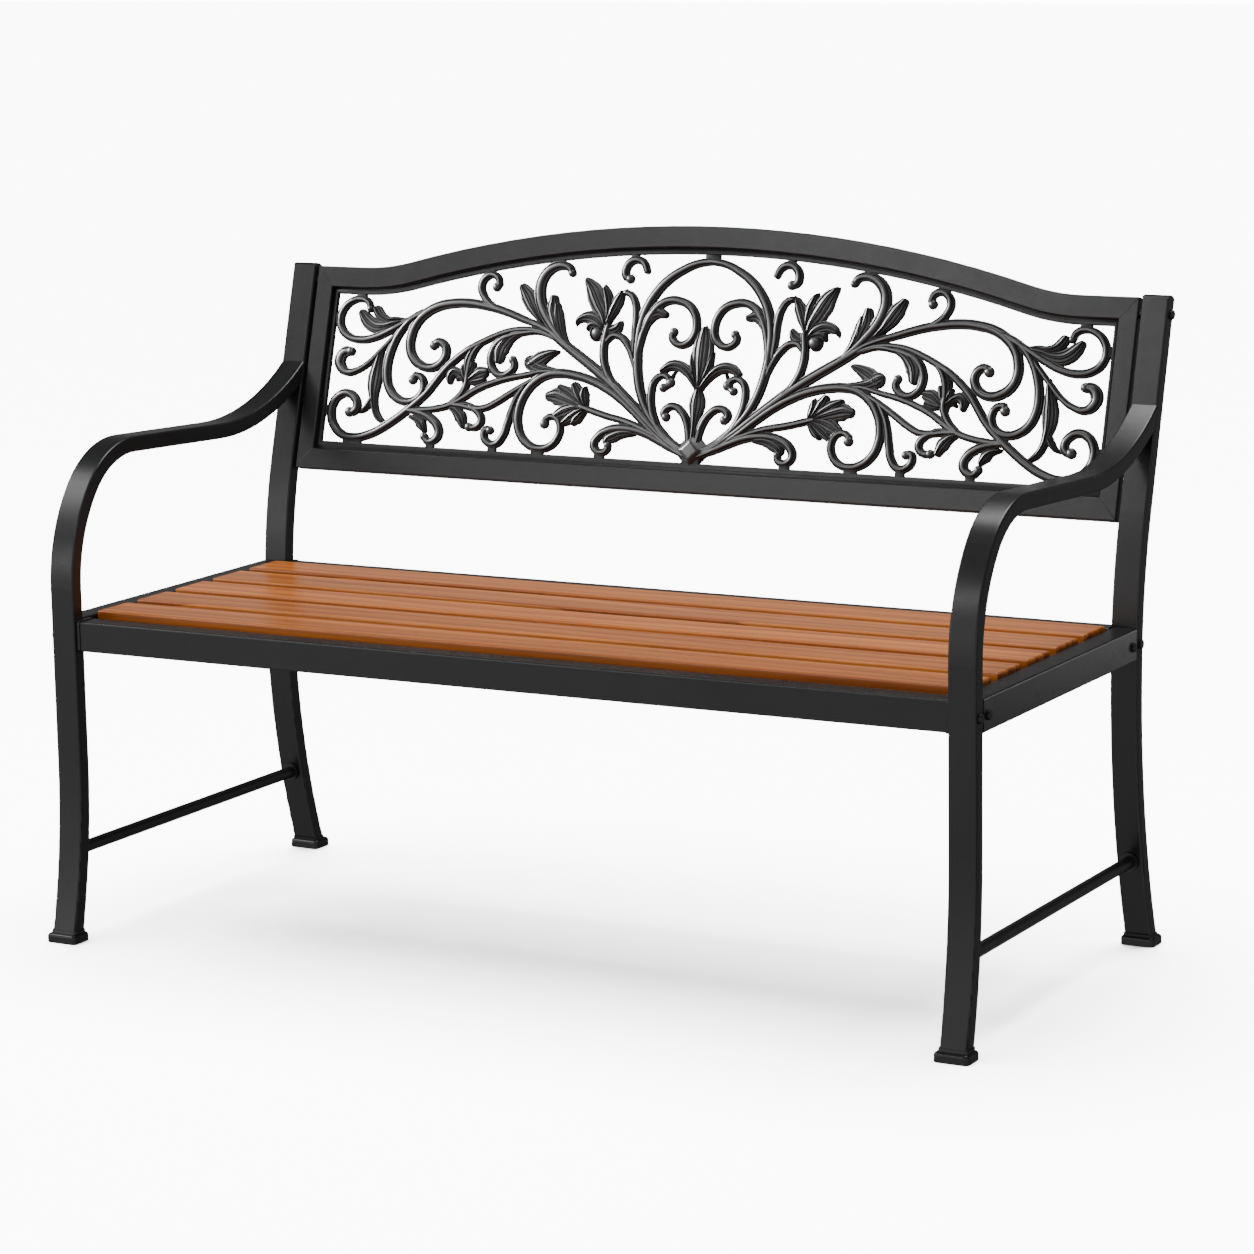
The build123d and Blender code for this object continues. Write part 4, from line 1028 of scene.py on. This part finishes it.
WASH_PLACE = (-0.8, 0.9, 5.0)  # the light that only the floor gets
WASH_STRENGTH = 35
WASH_ANGLE = 70
AROUND = 1.0  # brightness of the room that the bench mirrors
# Its greys from straight down to straight up
HORIZON = [
    (0.0, (0.35, 0.35, 0.35)), (0.40, (0.60, 0.60, 0.60)), (0.53, (1.0, 1.0, 1.0)),
    (0.64, (0.55, 0.55, 0.55)), (0.80, (0.22, 0.22, 0.22)), (1.0, (0.40, 0.40, 0.40)),
]
ROOM_FRONT = -0.6  # the room is brightest from here to the front
ROOM_BACK = 0.5  # and has only BACK_SHARE of that from here to the back
BACK_SHARE = 0.25
BEHIND = 13.0  # brightness of the plain background


def soft_light(name):
    """One square softbox of the table, turned towards its aim."""
    place, aim, size, power = LAMPS[name]
    bpy.ops.object.light_add(type="AREA", location=place)
    lamp = bpy.context.object
    lamp.name = name
    lamp.data.size = size
    lamp.data.energy = power
    turn = Vector(aim) - lamp.location
    lamp.rotation_euler = turn.to_track_quat("-Z", "Y").to_euler()
    return lamp


def shine_only_on(lamp, things, name):
    """A lamp that lights only these things."""
    lit = bpy.data.collections.new(name)
    for thing in things:
        lit.objects.link(thing)
    lamp.light_linking.receiver_collection = lit


def pale_floor():
    """A plain floor that neither reflects in the bench nor throws light back at it, and its light."""
    bpy.ops.mesh.primitive_plane_add(size=FLOOR_SIZE, location=(0, 0, 0))
    floor = bpy.context.object
    floor.name = "studio_floor"
    material, tree, shader = new_material("pale_floor")
    vector = place_pattern(tree, (1, 1, 1))
    cloud = noise(tree, vector, *FLOOR_NOISE, (-700, 0))
    colour = ramp(tree, cloud.outputs["Fac"], FLOOR_GREYS, (-300, 0))
    tree.links.new(colour, shader.inputs["Base Color"])
    shader.inputs["Roughness"].default_value = 0.9
    shader.inputs["Specular IOR Level"].default_value = 0.0
    floor.data.materials.append(material)
    floor.visible_glossy = False
    floor.visible_diffuse = False
    bpy.ops.object.light_add(type="SUN", location=WASH_PLACE)
    wash = bpy.context.object
    wash.name = "floor_wash"
    wash.rotation_euler = (-wash.location).to_track_quat("-Z", "Y").to_euler()
    wash.data.energy = WASH_STRENGTH
    wash.data.angle = radians(WASH_ANGLE)
    shine_only_on(wash, [floor], "floor_only")


def room():
    """A plain background for the camera, and for the bench a room that is brightest in front."""
    world = bpy.data.worlds.new("studio")
    world.use_nodes = True
    tree = world.node_tree
    tree.nodes.clear()
    around = add_node(tree, "ShaderNodeBackground", (0, 0))
    around.inputs["Strength"].default_value = AROUND
    heading = add_node(tree, "ShaderNodeTexCoord", (-900, 0))
    parts = add_node(tree, "ShaderNodeSeparateXYZ", (-700, 0))
    tree.links.new(heading.outputs["Generated"], parts.inputs[0])
    height = add_node(tree, "ShaderNodeMapRange", (-500, 100))
    height.inputs["From Min"].default_value = -1.0
    tree.links.new(parts.outputs["Z"], height.inputs["Value"])
    glow = ramp(tree, height.outputs["Result"], HORIZON, (-300, 100))
    facing = add_node(tree, "ShaderNodeMapRange", (-500, -150))
    facing.inputs["From Min"].default_value = ROOM_BACK
    facing.inputs["From Max"].default_value = ROOM_FRONT
    facing.inputs["To Min"].default_value = BACK_SHARE
    tree.links.new(parts.outputs["Y"], facing.inputs["Value"])
    light = add_node(tree, "ShaderNodeMix", (-150, 0), data_type="RGBA", blend_type="MULTIPLY")
    light.inputs["Factor"].default_value = 1.0
    tree.links.new(glow, light.inputs[6])
    tree.links.new(facing.outputs["Result"], light.inputs[7])
    tree.links.new(light.outputs[2], around.inputs["Color"])
    behind = add_node(tree, "ShaderNodeBackground", (0, -200))
    behind.inputs["Color"].default_value = (1, 1, 1, 1)
    behind.inputs["Strength"].default_value = BEHIND
    seen = add_node(tree, "ShaderNodeLightPath", (0, 300))
    both = add_node(tree, "ShaderNodeMixShader", (250, 0))
    output = add_node(tree, "ShaderNodeOutputWorld", (450, 0))
    tree.links.new(seen.outputs["Is Camera Ray"], both.inputs["Fac"])
    tree.links.new(around.outputs["Background"], both.inputs[1])
    tree.links.new(behind.outputs["Background"], both.inputs[2])
    tree.links.new(both.outputs["Shader"], output.inputs["Surface"])
    bpy.context.scene.world = world


def lights(casting):
    """Soft lights for the whole bench, and sheens for single pieces of it."""
    for name in ("key", "front", "top", "back_sheen"):
        soft_light(name)
    lit = {
        "side_sheen": [NODES["left_seat_rail"], NODES["right_seat_rail"]],
        "slat_sheen": [shown for name, shown in NODES.items() if name.startswith("seat_slat")],
        "casting_key": casting,
        "casting_fill": casting,
    }
    for name, things in lit.items():
        shine_only_on(soft_light(name), things, name + "_only")


# ---------------------------------------------------------------- camera
EYE = (2.4544, -4.4129, 1.3439)
EYE_AIM = (0.05256, -0.0435, 0.3850)
EYE_LENS = 118.0
EYE_SENSOR = 36.0
EYE_ROLL = -0.96
EYE_SHIFT = (0.0011, 0.0166)


def camera():
    """The viewpoint: in front, to the right and a little above."""
    bpy.ops.object.camera_add(location=EYE)
    eye = bpy.context.object
    turn = (Vector(EYE_AIM) - eye.location).to_track_quat("-Z", "Y")
    roll = Matrix.Rotation(radians(EYE_ROLL), 3, "Z")
    eye.rotation_euler = (turn.to_matrix() @ roll).to_euler()
    eye.data.lens = EYE_LENS
    eye.data.sensor_width = EYE_SENSOR
    eye.data.shift_x, eye.data.shift_y = EYE_SHIFT
    bpy.context.scene.camera = eye


camera()
pale_floor()
room()
paint_cad_nodes()
cast_pieces = scroll_casting()
mitre_welds()
lights(cast_pieces)
